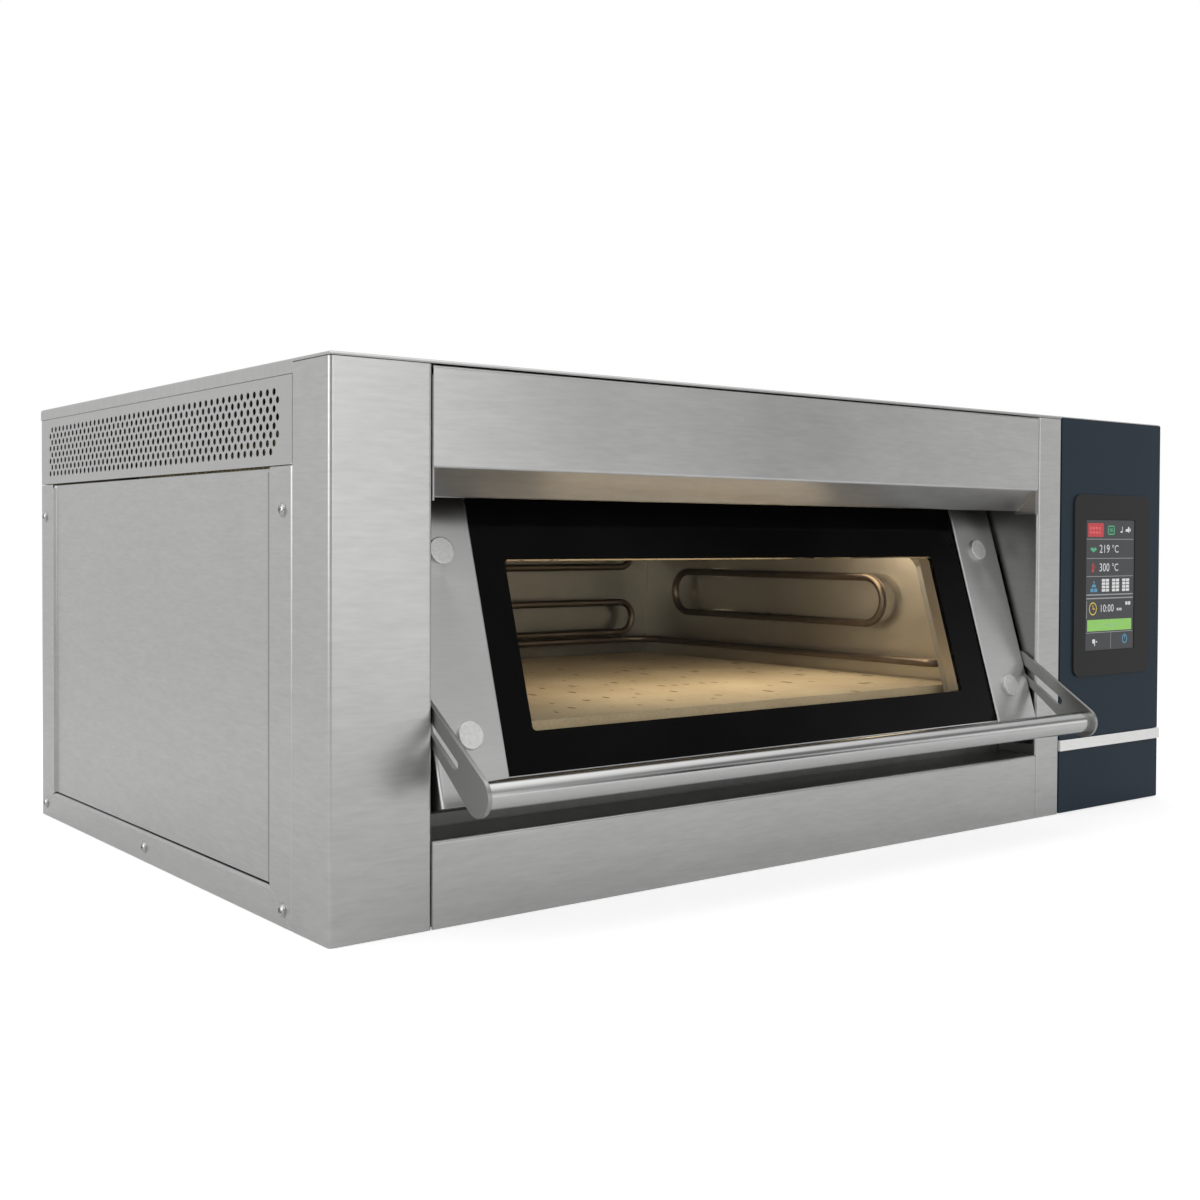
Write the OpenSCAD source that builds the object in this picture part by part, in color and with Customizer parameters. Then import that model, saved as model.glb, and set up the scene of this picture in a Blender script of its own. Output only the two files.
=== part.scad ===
// Single deck oven: folded steel cabinet, sloping top-hung door, baking chamber and controls.
// Millimetres. Pieces are drawn from the cabinet's front left foot (X right, Y back, Z up),
// then from_corner() moves them so that the origin is the middle of the base.

/* [Cabinet] */
// Width of the cabinet
body_w = 1090; // [1060:5:1150]
// Depth of the cabinet, without the handle and the rear fittings
body_d = 670; // [660:5:700]
// Height of the cabinet
body_h = 440; // [438:1:446]
// Thickness of the casing sheet
sheet = 1.5; // [1.2:0.1:1.8]
// Outside radius of the bends in the casing sheet
bend_r = 3; // [2.5:0.5:3.5]
// Joint left between two casing panels
panel_gap = 0.8; // [0.6:0.1:1.2]
// Width of the left front post
left_post_w = 88; // [80:1:92]
// Width of the narrow post beside the controls
right_post_w = 41.4; // [36:0.2:46]
// Width of the control column
control_w = 194.6; // [185:0.2:200]
// Height of the panel over the door
header_h = 82.2; // [80:0.2:84]
// Height of the panel under the door
plinth_h = 68.9; // [64:0.1:70]
// Depth of the sloping soffit behind the header
soffit_depth = 31; // [30:0.5:32]
// How far the soffit drops towards the back
soffit_drop = 26.2; // [24:0.2:26.4]

/* [Sides] */
// Depth of the front post along the side
side_return = 60; // [55:1:65]
// Width of the flat stile at each end of a side panel
stile_w = 41; // [38:1:44]
// Height of the bottom rail of each side
side_rail_h = 28; // [26:1:32]
// How far the middle of a side panel is set in
field_depth = 2.5; // [2:0.5:3]
// Height of the perforated strip under the roof
vent_h = 69; // [66:1:70]
// Height of the roof flange along the sides
roof_flange = 11.8; // [10:0.2:13]
// Diameter of a vent hole
vent_hole_d = 5.6; // [4.6:0.1:5.6]
// Distance between holes in one row
vent_pitch = 12; // [11.5:0.5:13]
// Distance between rows of holes
vent_row_gap = 6.65; // [6.4:0.05:6.7]
// Rows of vent holes
vent_rows = 8; // [6:1:8]

/* [Door] */
// Lean of the door from upright, top to the back
door_slant = 17; // [16.5:0.1:17.5]
// How far the foot of the door stands in front of the posts
door_foot_out = 9.1; // [8:0.1:10]
// Height of the foot of the door
door_foot_z = 94.6; // [93:0.2:96]
// Length of the door up its slope
door_len = 262; // [258:1:263]
// Thickness of the door
door_t = 34; // [34:1:35]
// Space between the door and each jamb
door_gap = 4.5; // [4.2:0.1:5]
// Width of each steel side strip of the door
strip_w = 65.7; // [60:0.1:68]
// Clear window, from the left and right edges of the door
window_inset = [97.5, 110.5];
// Clear window, lowest and highest point up the slope
window_span = [54, 200];
// Diameter of the round covers on the strips
cap_d = 23; // [22:1:26]
// Diameter of the handle tube
handle_d = 22; // [20:1:25]
// Handle tube axis in front of the posts
handle_reach = 60.7; // [58:0.1:64]
// Height of the handle tube axis
handle_z = 111.6; // [110:0.1:114]
// Thickness of each handle arm
arm_t = 3.5; // [3:0.1:3.5]

/* [Chamber] */
// Inside width of the chamber
chamber_w = 648; // [646:2:660]
// Top of the baking stone above the base
stone_top = 147; // [145:1:148]
// Thickness of the baking stone
stone_t = 20; // [18:1:22]
// Inside height of the chamber, from the stone
chamber_h = 178; // [176:1:180]
// Diameter of a heating element
heater_d = 9; // [8:0.5:9]

/* [Controls] */
// Width and height of the screen surround
bezel_size = [148, 204.4];
// Width and height of the display
display_size = [95.6, 148.4];
// Height of the middle of the screen surround
bezel_z = 252.5; // [245:0.5:260]
// Height of the bright trim band
trim_h = 12; // [10:0.5:14]

/* [Rear] */
// Outside diameter of the steam outlet
flue_d = 60; // [56:1:60]
// How far the steam outlet stands out of the back
flue_out = 42; // [30:1:60]
// Distance between the leg sockets across the oven
leg_span_x = 890; // [860:10:900]
// Distance between the leg sockets front to back
leg_span_y = 490; // [480:10:500]

/* [Hidden] */
$fn = 48;

steel = [0.72, 0.72, 0.71];
dull_steel = [0.55, 0.55, 0.54];
navy = [0.16, 0.2, 0.25];
black = [0.06, 0.06, 0.06];

// Openings and levels of the cabinet
opening_x0 = left_post_w;
opening_x1 = body_w - control_w - right_post_w;
opening_mid = (opening_x0 + opening_x1) / 2;
header_z = body_h - header_h;
soffit_z = header_z - soffit_drop;
roof_lip = 3;
lip_gap = 0.6;
post_top = body_h - roof_lip - lip_gap;
vent_top = body_h - roof_flange - panel_gap / 2;
vent_z = vent_top - vent_h;
control_x0 = body_w - control_w + panel_gap / 2;

// Door frame: u runs up the slope from the foot, depth runs into the oven
door_x0 = opening_x0 + door_gap;
door_w = opening_x1 - door_gap - door_x0;
hinge_u = 236;
hinge_depth = 16;
hinge_pin_r = 5;
running_gap = 0.05;
function on_slope(u, depth) = [
    -door_foot_out + u * sin(door_slant) + depth * cos(door_slant),
    door_foot_z + u * cos(door_slant) - depth * sin(door_slant)];
function slope_y(z, depth) =
    -door_foot_out + (z - door_foot_z) * tan(door_slant) + depth / cos(door_slant);
function slope_z(y, depth) =
    door_foot_z + (y + door_foot_out - depth / cos(door_slant)) / tan(door_slant);
hinge_at = on_slope(hinge_u, hinge_depth);

// Chamber limits
chamber_x0 = opening_mid - chamber_w / 2;
chamber_x1 = opening_mid + chamber_w / 2;
chamber_y1 = body_d - 75;
chamber_top = stone_top + chamber_h;
tray_z = stone_top - stone_t - 25.5;
frame_depth = door_t + 6;
brow_z = 296;
brow_y = 110;
mouth_z0 = stone_top - 9;
mouth_z1 = 286;

// Heating elements
heater_r = heater_d / 2;
terminal_r = heater_r - 0.5;
rear_loop_y = chamber_y1 - 20;
side_loop_in = 15;
side_loop_z = 233;
side_loop_gap = 53;
side_loop_y = 337;
side_loop_straight = 309;
rear_loop_gap = 40;
rear_loop_straight = 521;
rear_loop_z = [197.3, 284.7];
perimeter_z = stone_top + 20;
leg_spread = 20;
leg_len = 50;

// Rear fittings
flue_x = 400;
flue_z = 285;
lamp_x = 260;
lamp_z = 247;
lamp_r = 15;
probe_x = 330;
fan_size = 120;
fan_depth = 38;
fan_x = body_w - control_w / 2;
fan_z = 300;
fan_shaft_r = 3;

// ---- helpers -------------------------------------------------------------

module from_corner() translate([-body_w / 2, -body_d / 2, 0]) children();

module box(low, high) translate(low) cube(high - low);

// Profiles in (Y, Z) drawn along X, in (X, Z) drawn along Y, in (X, Y) drawn along Z
module along_x(x0, x1) translate([x0, 0, 0]) rotate([90, 0, 90]) linear_extrude(x1 - x0) children();
module along_y(y0, y1) translate([0, y1, 0]) rotate([90, 0, 0]) linear_extrude(y1 - y0) children();
module along_z(z0, z1) translate([0, 0, z0]) linear_extrude(z1 - z0) children();

// A round bar between two levels of one axis
module bar_x(x0, x1, y, z, r) translate([x0, y, z]) rotate([0, 90, 0]) cylinder(h = x1 - x0, r = r);
module bar_y(x, y0, y1, z, r) translate([x, y1, z]) rotate([90, 0, 0]) cylinder(h = y1 - y0, r = r);
module bar_z(x, y, z0, z1, r) translate([x, y, z0]) cylinder(h = z1 - z0, r = r);

// The right side of the cabinet is the left side seen in a mirror
module on_right() translate([body_w, 0, 0]) mirror([1, 0, 0]) children();

// The door's own frame: x from its left edge, y into the oven, z up the slope
module on_door()
    translate([door_x0, -door_foot_out, door_foot_z]) rotate([-door_slant, 0, 0]) children();

module rounded(size, r) {
    translate([r, 0]) square([size.x - 2 * r, size.y]);
    translate([0, r]) square([size.x, size.y - 2 * r]);
    for (x = [r, size.x - r], y = [r, size.y - r]) translate([x, y]) circle(r);
}

// Section of a folded sheet. The points walk along its outer face with the metal on the left.
bend_steps = 6;
function unit(v) = v / norm(v);
function left_of(v) = [-v.y, v.x];
function spun(v, a) = [v.x * cos(a) - v.y * sin(a), v.x * sin(a) + v.y * cos(a)];
function turn(a, b) = atan2(a.x * b.y - a.y * b.x, a * b);
function bend_points(p, d0, d1, r, off) = let (
        t = turn(d0, d1),
        side = sign(t),
        face_r = side > 0 ? r : r - sheet,
        back = face_r * tan(abs(t) / 2),
        centre = p - d0 * back + left_of(d0) * side * face_r)
    [for (k = [0:bend_steps]) centre + spun(-side * left_of(d0) * (face_r - side * off), t * k / bend_steps)];
function face_points(pts, r, off) = let (
        last = len(pts) - 1,
        dirs = [for (i = [0:last - 1]) unit(pts[i + 1] - pts[i])])
    concat([pts[0] + left_of(dirs[0]) * off],
        [for (i = [1:last - 1]) each bend_points(pts[i], dirs[i - 1], dirs[i], r, off)],
        [pts[last] + left_of(dirs[last - 1]) * off]);
function reversed(list) = [for (i = [len(list) - 1:-1:0]) list[i]];
module folded(pts, r = bend_r)
    polygon(concat(face_points(pts, r, 0), reversed(face_points(pts, r, sheet))));

// A flat bar with round ends of two sizes
module tapered_bar(p0, r0, p1, r1) {
    run = p1 - p0;
    lean = atan2(run.y, run.x);
    open = acos((r0 - r1) / norm(run));
    function rim(p, r, a) = p + r * [cos(lean + a), sin(lean + a)];
    polygon([rim(p0, r0, open), rim(p0, r0, -open), rim(p1, r1, -open), rim(p1, r1, open)]);
    translate(p0) circle(r0);
    translate(p1) circle(r1);
}

// ---- cabinet --------------------------------------------------------------

module leg_places() for (x = [-1, 1], y = [-1, 1])
    translate([x * leg_span_x / 2, y * leg_span_y / 2, 0]) children();

socket_r = 8;
pan_t = 2;
pan_h = 26;
pan_x = 12.5;
pan_y = 8;
module base_pan() color(dull_steel) difference() {
    from_corner() difference() {
        box([pan_x, pan_y, 0], [body_w - pan_x, body_d - 2, pan_h]);
        box([pan_x + pan_t, pan_y + pan_t, pan_t],
            [body_w - pan_x - pan_t, body_d - 2 - pan_t, pan_h + 1]);
        translate([control_x0 + 60, 200, -1]) for (k = [0:6]) translate([0, k * 16, 0])
            along_z(0, pan_t + 2) rounded([80, 6], 2.9);
    }
    leg_places() translate([0, 0, -1]) cylinder(h = pan_t + 2, r = socket_r + running_gap);
}

module leg_sockets() color("silver") leg_places() difference() {
    union() {
        cylinder(h = 16, r = socket_r);
        translate([0, 0, pan_t]) cylinder(h = 2.5, r = 12);
    }
    translate([0, 0, -1]) cylinder(h = 18, r = 4.25);
}

// The jamb face of each post ends on a line just in front of the sloping door.
// Under the door's foot it runs back to the recess panel, and it clears the base pan
recess_y = 50;
jamb_lip = 6;
jamb_back = 8;
jamb_foot_z = 80;
module jamb_trim(x0, x1) along_x(x0, x1) polygon([
    [jamb_lip, -1], [jamb_lip, pan_h + 1], [recess_y - 0.6, pan_h + 1], [recess_y - 0.6, jamb_foot_z],
    [jamb_lip, jamb_foot_z], [jamb_lip, slope_z(jamb_lip, -jamb_back)],
    [slope_y(post_top + 1, -jamb_back), post_top + 1], [200, post_top + 1], [200, -1]]);
jamb_blank = 100;

module left_post() color(steel) from_corner() difference() {
    along_z(0, post_top) folded([[0, side_return], [0, 0], [opening_x0, 0], [opening_x0, jamb_blank]]);
    jamb_trim(opening_x0 - bend_r - 1, opening_x0 + 1);
}

module right_post() color(steel) from_corner() difference() {
    along_z(0, post_top) folded([[opening_x1, jamb_blank], [opening_x1, 0],
        [body_w - control_w, 0], [body_w - control_w, pan_y - 0.5]]);
    jamb_trim(opening_x1 - 1, opening_x1 + bend_r + 1);
}

// One sheet: front, sloping soffit and its back flange, with a cheek at each end of the soffit.
// The top flange steps up to carry the roof.
module header_panel() color(steel) from_corner() {
    x0 = opening_x0 + panel_gap;
    x1 = opening_x1 - panel_gap;
    along_x(x0, x1) folded([[44, body_h - sheet], [28, body_h - sheet], [24, post_top], [0, post_top],
        [0, header_z], [soffit_depth, soffit_z], [soffit_depth, soffit_z + 18]]);
    for (x = [x0, x1 - sheet]) along_x(x, x + sheet) polygon([[1.5, soffit_z], [1.5, header_z - 0.8],
        [soffit_depth - 2, soffit_z + 2], [soffit_depth - 2, soffit_z]]);
}

// Lower front panel, folded back over the recess under the door
module plinth_panel() color(steel) from_corner()
    along_x(opening_x0 + panel_gap, opening_x1 - panel_gap)
        folded([[recess_y - 0.3, plinth_h], [0, plinth_h], [0, 0]]);

module top_rounded(w, h) intersection() {
    translate([0, -2 * bend_r]) rounded([w, h + 2 * bend_r], bend_r);
    square([w, h]);
}

module roof_cover() color(steel) from_corner() difference() {
    intersection() {
        along_y(0, body_d) translate([0, body_h - roof_flange]) top_rounded(body_w, roof_flange);
        along_x(0, body_w) translate([0, body_h - roof_flange]) top_rounded(body_d, roof_flange);
    }
    box([sheet, sheet, 0], [body_w - sheet, body_d - sheet, body_h - sheet]);
    box([-1, -1, 0], [body_w + 1, side_return, body_h - roof_lip]);
    box([control_x0 - 1, -1, 0], [body_w + 1, 4.2, body_h - sheet]);
}

// Side panel: stiles at the casing face, middle field set in by a small joggle
side_y0 = side_return + 0.6;
field_y0 = side_return + stile_w;
field_y1 = body_d - stile_w;
mitre_y = side_rail_h * 40 / 28;
module mitre_outline(grow) polygon([
    [field_y0 - mitre_y - grow, -1], [field_y0 - grow, side_rail_h], [field_y1 + grow, side_rail_h],
    [field_y1 + mitre_y + grow, -1]]);

module side_panel() difference() {
    along_z(0, vent_z - panel_gap) folded([[12, body_d], [0, body_d], [0, field_y1],
        [field_depth, field_y1 - field_depth], [field_depth, field_y0 + field_depth], [0, field_y0],
        [0, side_y0], [10, side_y0]]);
    along_x(-1, 14) mitre_outline(0.4);
    box([-1, field_y0, side_rail_h - 1], [14, field_y1, side_rail_h + 1.2]);
    box([-1, field_y0, vent_z - 1.8], [14, field_y1, vent_z]);
    for (y = [field_y0 - 1.5, field_y1 - 1]) box([-1, y, vent_z - 6], [14, y + 2.5, vent_z]);
}

module side_rail() intersection() {
    along_y(side_y0, body_d) folded([[10, side_rail_h], [0, side_rail_h], [0, 0]]);
    along_x(-1, 14) mitre_outline(0);
}

// Perforated strip: every other row is shifted by half a pitch, and the lowest starts one hole late
vent_z0 = vent_z + 11;
vent_count = floor((body_d - side_return - 54) / vent_pitch);
module vent_holes() for (row = [0:vent_rows - 1]) {
    shift = row % 2 * vent_pitch / 2;
    for (k = [row == 0 ? 1 : 0:vent_count - row % 2])
        translate([side_return + 26 + shift + k * vent_pitch, vent_z0 + row * vent_row_gap])
            circle(d = vent_hole_d, $fn = 20);
}
module vent_panel() {
    along_x(0, sheet) difference() {
        translate([side_y0 + bend_r, vent_z]) square([body_d - side_y0 - 2 * bend_r, vent_h]);
        vent_holes();
    }
    along_z(vent_z, vent_z + vent_h) {
        folded([[12, body_d], [0, body_d], [0, body_d - bend_r]]);
        folded([[0, side_y0 + bend_r], [0, side_y0], [10, side_y0]]);
    }
}

module left_side_panel() color(steel) from_corner() side_panel();
module left_side_rail() color(steel) from_corner() side_rail();
module left_vent_panel() color(steel) from_corner() vent_panel();
module right_side_panel() color(steel) from_corner() on_right() side_panel();
module right_side_rail() color(steel) from_corner() on_right() side_rail();
module right_vent_panel() color(steel) from_corner() on_right() vent_panel();

gland_x = body_w - 60;
gland_z = 60;
gland_r = 16;
module back_panel() color(steel) from_corner() along_y(body_d - sheet, body_d) difference() {
    translate([12.5, 0.5]) square([body_w - 25, body_h - roof_flange - 1]);
    translate([flue_x, flue_z]) circle(flue_d / 2 + 0.5);
    translate([gland_x, gland_z]) circle(gland_r);
    translate([fan_x, fan_z]) for (ring = [1:3], k = [0:7 * ring - 1])
        rotate(k * 360 / (7 * ring)) translate([8 + ring * 14, 0]) circle(d = 9, $fn = 20);
    for (x = [430, 560, 690], k = [0:7]) translate([x, 120 + k * 14]) rounded([90, 5], 2.4);
}

// Pan-head screws: five on each side, six on the back
screw_r = 4.8;
side_screws = [[77, 324.2], [77, 13.3], [body_d - 303, 13.7], [body_d - 15.5, 324], [body_d - 16, 14]];
back_screws = [[24, 60], [24, 380], [545, 12], [545, 418], [body_w - 24, 160], [body_w - 24, 380]];
module screw_head() {
    cylinder(h = 0.8, r = screw_r + 1.2);
    translate([0, 0, 0.8]) cylinder(h = 1.4, r = screw_r);
    translate([0, 0, 2.2]) cylinder(h = 0.9, r1 = screw_r, r2 = screw_r - 1.6);
}
module side_screw_row() for (p = side_screws) translate([0, p.x, p.y]) rotate([0, -90, 0]) screw_head();
module case_screws() color("silver") from_corner() {
    side_screw_row();
    on_right() side_screw_row();
    for (p = back_screws) translate([p.x, body_d, p.y]) rotate([-90, 0, 0]) screw_head();
}

// ---- control column --------------------------------------------------------

fascia_t = 4;
trim_z = plinth_h + 0.6;
display_y = 6;
bezel_x = (control_x0 + body_w) / 2;
display_x = bezel_x - 4;
module centred_square(size) translate([display_x, bezel_z]) translate(-size / 2) square(size);

module control_frame() color(steel) from_corner() difference() {
    along_z(0, body_h - roof_lip) folded([[control_x0, fascia_t + bend_r + 0.5], [control_x0, fascia_t],
        [body_w, fascia_t], [body_w, side_return]]);
    along_y(fascia_t - 1, fascia_t + sheet + 1) centred_square(display_size + [14, 14]);
}

module upper_fascia() color(navy) from_corner() along_y(0, fascia_t) difference() {
    translate([control_x0, trim_z + trim_h + 0.4])
        rounded([body_w - control_x0, body_h - sheet - trim_z - trim_h - 0.4], 1.5);
    centred_square(display_size + [10, 10]);
}

module fascia_trim() color("silver") from_corner() {
    box([control_x0, -2, trim_z], [body_w, fascia_t, trim_z + trim_h]);
    box([body_w, -2, trim_z], [body_w + sheet, 14, trim_z + trim_h]);
}

module lower_fascia() color(navy) from_corner() along_y(0, fascia_t)
    translate([control_x0, 0.5]) rounded([body_w - control_x0, trim_z - 0.9], 1.5);

module screen_bezel() color([0.23, 0.23, 0.23]) from_corner() along_y(-1.8, 0) difference() {
    translate([bezel_x, bezel_z] - bezel_size / 2) rounded(bezel_size, 11);
    centred_square(display_size);
}

module touch_screen() color(black) from_corner() along_y(-1.2, display_y)
    centred_square(display_size - [0.6, 0.6]);

module control_board() color("darkgreen") from_corner() {
    board = [126, 178];
    along_y(display_y, display_y + 2) centred_square(board);
    for (k = [0:2]) translate([display_x - 45 + k * 34, display_y + 2, bezel_z - 60]) cube([22, 12, 26]);
    translate([display_x - 40, display_y + 2, bezel_z + 10]) cube([70, 8, 50]);
}

partition_x = control_x0 - 8;
module partition() color(dull_steel) from_corner()
    box([partition_x, side_return + 5, pan_t], [partition_x + sheet, body_d - 5, body_h - roof_flange]);

module contactors() color([0.8, 0.8, 0.78]) from_corner() for (k = [0:2])
    translate([partition_x + sheet, 190 + k * 52, 120]) {
        cube([62, 45, 78]);
        translate([62, 6, 16]) cube([16, 33, 46]);
    }

module cable_gland() color([0.2, 0.2, 0.2]) from_corner() translate([gland_x, 0, gland_z]) {
    difference() {
        union() {
            translate([0, body_d + 24, 0]) rotate([90, 0, 0]) cylinder(h = 24, r = 20);
            translate([0, body_d, 0]) rotate([90, 0, 0]) cylinder(h = 14, r = gland_r - running_gap);
            translate([0, body_d - sheet, 0]) rotate([90, 0, 0]) cylinder(h = 6, r = 21);
        }
        bar_y(0, body_d - 15, body_d + 25, 0, 9.5);
    }
}

// ---- baking chamber ----------------------------------------------------------

clear_gap = 0.3;
floor_z = tray_z + sheet;
elbow_r = 12;
perimeter_in = 17;
perimeter_bend = 45;
perimeter_y = chamber_y1 - perimeter_in;
perimeter_front = 92;
stone_y0 = 52;
ceiling_rod_z = chamber_top - 9;
floor_rod_z = floor_z + 11;
hairpin_gap = 70;
hairpin_step = 128;
hairpins = [for (k = [-2:2]) opening_mid + k * hairpin_step];

module chamber_front() color(dull_steel) from_corner() difference() {
    along_x(14, partition_x - 2) folded([[brow_y, chamber_top + 12], [brow_y, brow_z],
        [slope_y(brow_z, frame_depth), brow_z], [slope_y(tray_z - sheet, frame_depth), tray_z - sheet],
        [recess_y, tray_z - sheet], [recess_y, 34]]);
    box([chamber_x0, 20, mouth_z0], [chamber_x1, brow_y - 1, mouth_z1]);
}

// Outline of a side wall: it stops just behind the sloping front
module wall_outline() polygon([
    [slope_y(tray_z, frame_depth + 3), tray_z],
    [slope_y(brow_z - 3, frame_depth + 3), brow_z - 3],
    [brow_y + 3, brow_z - 3], [brow_y + 3, chamber_top + sheet],
    [chamber_y1, chamber_top + sheet], [chamber_y1, tray_z]]);

module side_wall() difference() {
    along_x(chamber_x0 - sheet, chamber_x0) wall_outline();
    for (s = [-1, 1]) bar_x(chamber_x0 - 5, chamber_x0 + 5, side_loop_y + s * leg_spread,
        side_loop_z - side_loop_gap / 2, heater_r + clear_gap);
    bar_x(chamber_x0 - 5, chamber_x0 + 5, perimeter_front - elbow_r, perimeter_z, heater_r + clear_gap);
}

module across_chamber() translate([2 * opening_mid, 0, 0]) mirror([1, 0, 0]) children();

module chamber_sides() color(steel) from_corner() {
    side_wall();
    across_chamber() side_wall();
}

module rear_holes(grow) {
    translate([flue_x, flue_z]) circle(flue_d / 2 + grow);
    translate([lamp_x, lamp_z]) circle(lamp_r + grow);
    translate([probe_x, lamp_z]) circle(3 + grow);
    for (z = rear_loop_z, s = [-1, 1])
        translate([opening_mid + s * leg_spread, z - rear_loop_gap / 2]) circle(heater_r + grow);
    for (x = hairpins, s = [-1, 1])
        translate([x + s * hairpin_gap / 2, floor_rod_z]) circle(heater_r + grow);
}

module chamber_rear() color(steel) from_corner() along_y(chamber_y1, chamber_y1 + sheet) difference() {
    translate([chamber_x0 - sheet, tray_z])
        square([chamber_w + 2 * sheet, chamber_top + sheet - tray_z]);
    rear_holes(clear_gap);
}

module chamber_ceiling() color(steel) from_corner() difference() {
    box([chamber_x0, brow_y + 3, chamber_top], [chamber_x1, chamber_y1, chamber_top + sheet]);
    for (x = hairpins, s = [-1, 1]) bar_z(x + s * hairpin_gap / 2, ceiling_leg_y, chamber_top - 1,
        chamber_top + 3, heater_r + 1);
}

module chamber_floor() color(dull_steel) from_corner()
    box([chamber_x0, slope_y(tray_z, frame_depth + 4), tray_z], [chamber_x1, chamber_y1, floor_z]);

// Fibre seal round the mouth, glued to the sloping front
function slope_u(z, depth) = (z - door_foot_z + depth * sin(door_slant)) / cos(door_slant);
seal_w = 11;
module door_gasket() color([0.75, 0.72, 0.66]) from_corner() on_door() {
    low = slope_u(mouth_z0, frame_depth) - 2;
    high = slope_u(mouth_z1, frame_depth);
    along_y(door_t, frame_depth) translate([chamber_x0 - door_x0, low]) difference() {
        translate([-seal_w, -seal_w]) rounded([chamber_w + 2 * seal_w, high - low + 2 * seal_w], seal_w);
        square([chamber_w, high - low]);
    }
}

module baking_stone() color([0.85, 0.8, 0.7]) from_corner()
    box([chamber_x0 + 3, stone_y0, stone_top - stone_t], [chamber_x1 - 3, chamber_y1 - 4, stone_top]);

// Channels under the stone, notched over the front bends of the lower elements
bearer_h = stone_top - stone_t - floor_z;
floor_rod_y0 = 120;
module stone_bearers() color(dull_steel) from_corner() difference() {
    for (x = [chamber_x0 + 1, opening_mid - 12, chamber_x1 - 25])
        along_y(stone_y0 + 8, chamber_y1 - 10) translate([x, floor_z])
            folded([[24, 0], [24, bearer_h], [0, bearer_h], [0, 0]]);
    box([chamber_x0, floor_rod_y0 - hairpin_gap / 2 - 9, floor_z - 1],
        [chamber_x1, floor_rod_y0 - hairpin_gap / 2 + 11, floor_rod_z + heater_r + 1]);
}

// ---- heating elements ----------------------------------------------------------

// Part of a rod bent in the local XY plane
module rod_bend(r, from, to) rotate([0, 0, from]) rotate_extrude(angle = to - from)
    translate([r, 0]) circle(heater_r);

// Long loop standing in front of a wall, with two terminals running back through the wall
module heater_loop(straight, gap) {
    half = straight / 2;
    for (side = [-1, 1]) {
        bar_x(-half, half, 0, side * gap / 2, heater_r);
        translate([side * half, 0, 0]) rotate([90, 0, 0]) rod_bend(gap / 2, -90 * side, 180 - 90 * side);
        bar_y(side * leg_spread, 0, leg_len, -gap / 2, terminal_r);
    }
}

// Two rods running back from a bend at their front
module hairpin(length) {
    for (s = [-1, 1]) bar_y(s * hairpin_gap / 2, 0, length, 0, heater_r);
    rod_bend(hairpin_gap / 2, 180, 360);
}

module rear_heaters() color([0.35, 0.33, 0.32]) from_corner() for (z = rear_loop_z)
    translate([opening_mid, rear_loop_y, z]) heater_loop(rear_loop_straight, rear_loop_gap);

module side_loop() translate([chamber_x1 - side_loop_in, side_loop_y, side_loop_z])
    rotate([0, 0, -90]) heater_loop(side_loop_straight, side_loop_gap);

module side_heaters() color([0.35, 0.33, 0.32]) from_corner() {
    side_loop();
    across_chamber() side_loop();
}

module perimeter_half() {
    x = chamber_x1 - perimeter_in;
    translate([0, 0, perimeter_z]) {
        bar_x(opening_mid, x - perimeter_bend, perimeter_y, 0, heater_r);
        translate([x - perimeter_bend, perimeter_y - perimeter_bend, 0]) rod_bend(perimeter_bend, 0, 90);
        bar_y(x, perimeter_front, perimeter_y - perimeter_bend, 0, heater_r);
        translate([x + elbow_r, perimeter_front, 0]) rod_bend(elbow_r, 180, 270);
        bar_x(x + elbow_r, x + leg_len, perimeter_front - elbow_r, 0, heater_r);
    }
}

module perimeter_heater() color([0.35, 0.33, 0.32]) from_corner() {
    perimeter_half();
    across_chamber() perimeter_half();
}

// Elements over and under the stone
ceiling_rod_y0 = 170;
ceiling_leg_y = 540;
module deck_heaters() color([0.35, 0.33, 0.32]) from_corner() for (x = hairpins) {
    translate([x, ceiling_rod_y0, ceiling_rod_z]) hairpin(ceiling_leg_y - elbow_r - ceiling_rod_y0);
    for (s = [-1, 1]) translate([x + s * hairpin_gap / 2, ceiling_leg_y - elbow_r, ceiling_rod_z]) {
        translate([0, 0, elbow_r]) rotate([90, 0, 90]) rod_bend(elbow_r, -90, 0);
        bar_z(0, elbow_r, elbow_r, 34, heater_r);
    }
    translate([x, floor_rod_y0, floor_rod_z]) hairpin(chamber_y1 + 28 - floor_rod_y0);
}

// Two small plates on a foot, holding a rod from behind: drawn for a rod along X, the wall at y = reach
clip_half = 4.4;
clip_tall = 5.5;
module rod_clip(reach) difference() {
    union() {
        for (x = [-clip_half, clip_half])
            box([x - 0.8, 0, -clip_tall], [x + 0.8, reach, clip_tall]);
        box([-clip_half - 3, reach - 1.5, -clip_tall], [clip_half + 3, reach, clip_tall]);
    }
    bar_x(-clip_half - 1, clip_half + 1, 0, 0, heater_r + clear_gap);
}
side_clip_y = 442;
rear_clip_x = 75;
module side_clips() for (s = [-1, 1])
    translate([chamber_x1 - side_loop_in, side_clip_y, side_loop_z + s * side_loop_gap / 2])
        rotate([0, 0, -90]) rod_clip(side_loop_in);
module heater_clips() color("silver") from_corner() {
    side_clips();
    across_chamber() side_clips();
    for (z = rear_loop_z, s = [-1, 1], x = [-rear_clip_x, rear_clip_x])
        translate([opening_mid + x, rear_loop_y, z + s * rear_loop_gap / 2])
            rod_clip(chamber_y1 - rear_loop_y);
}

// ---- lamp, probe, insulation --------------------------------------------------

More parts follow.
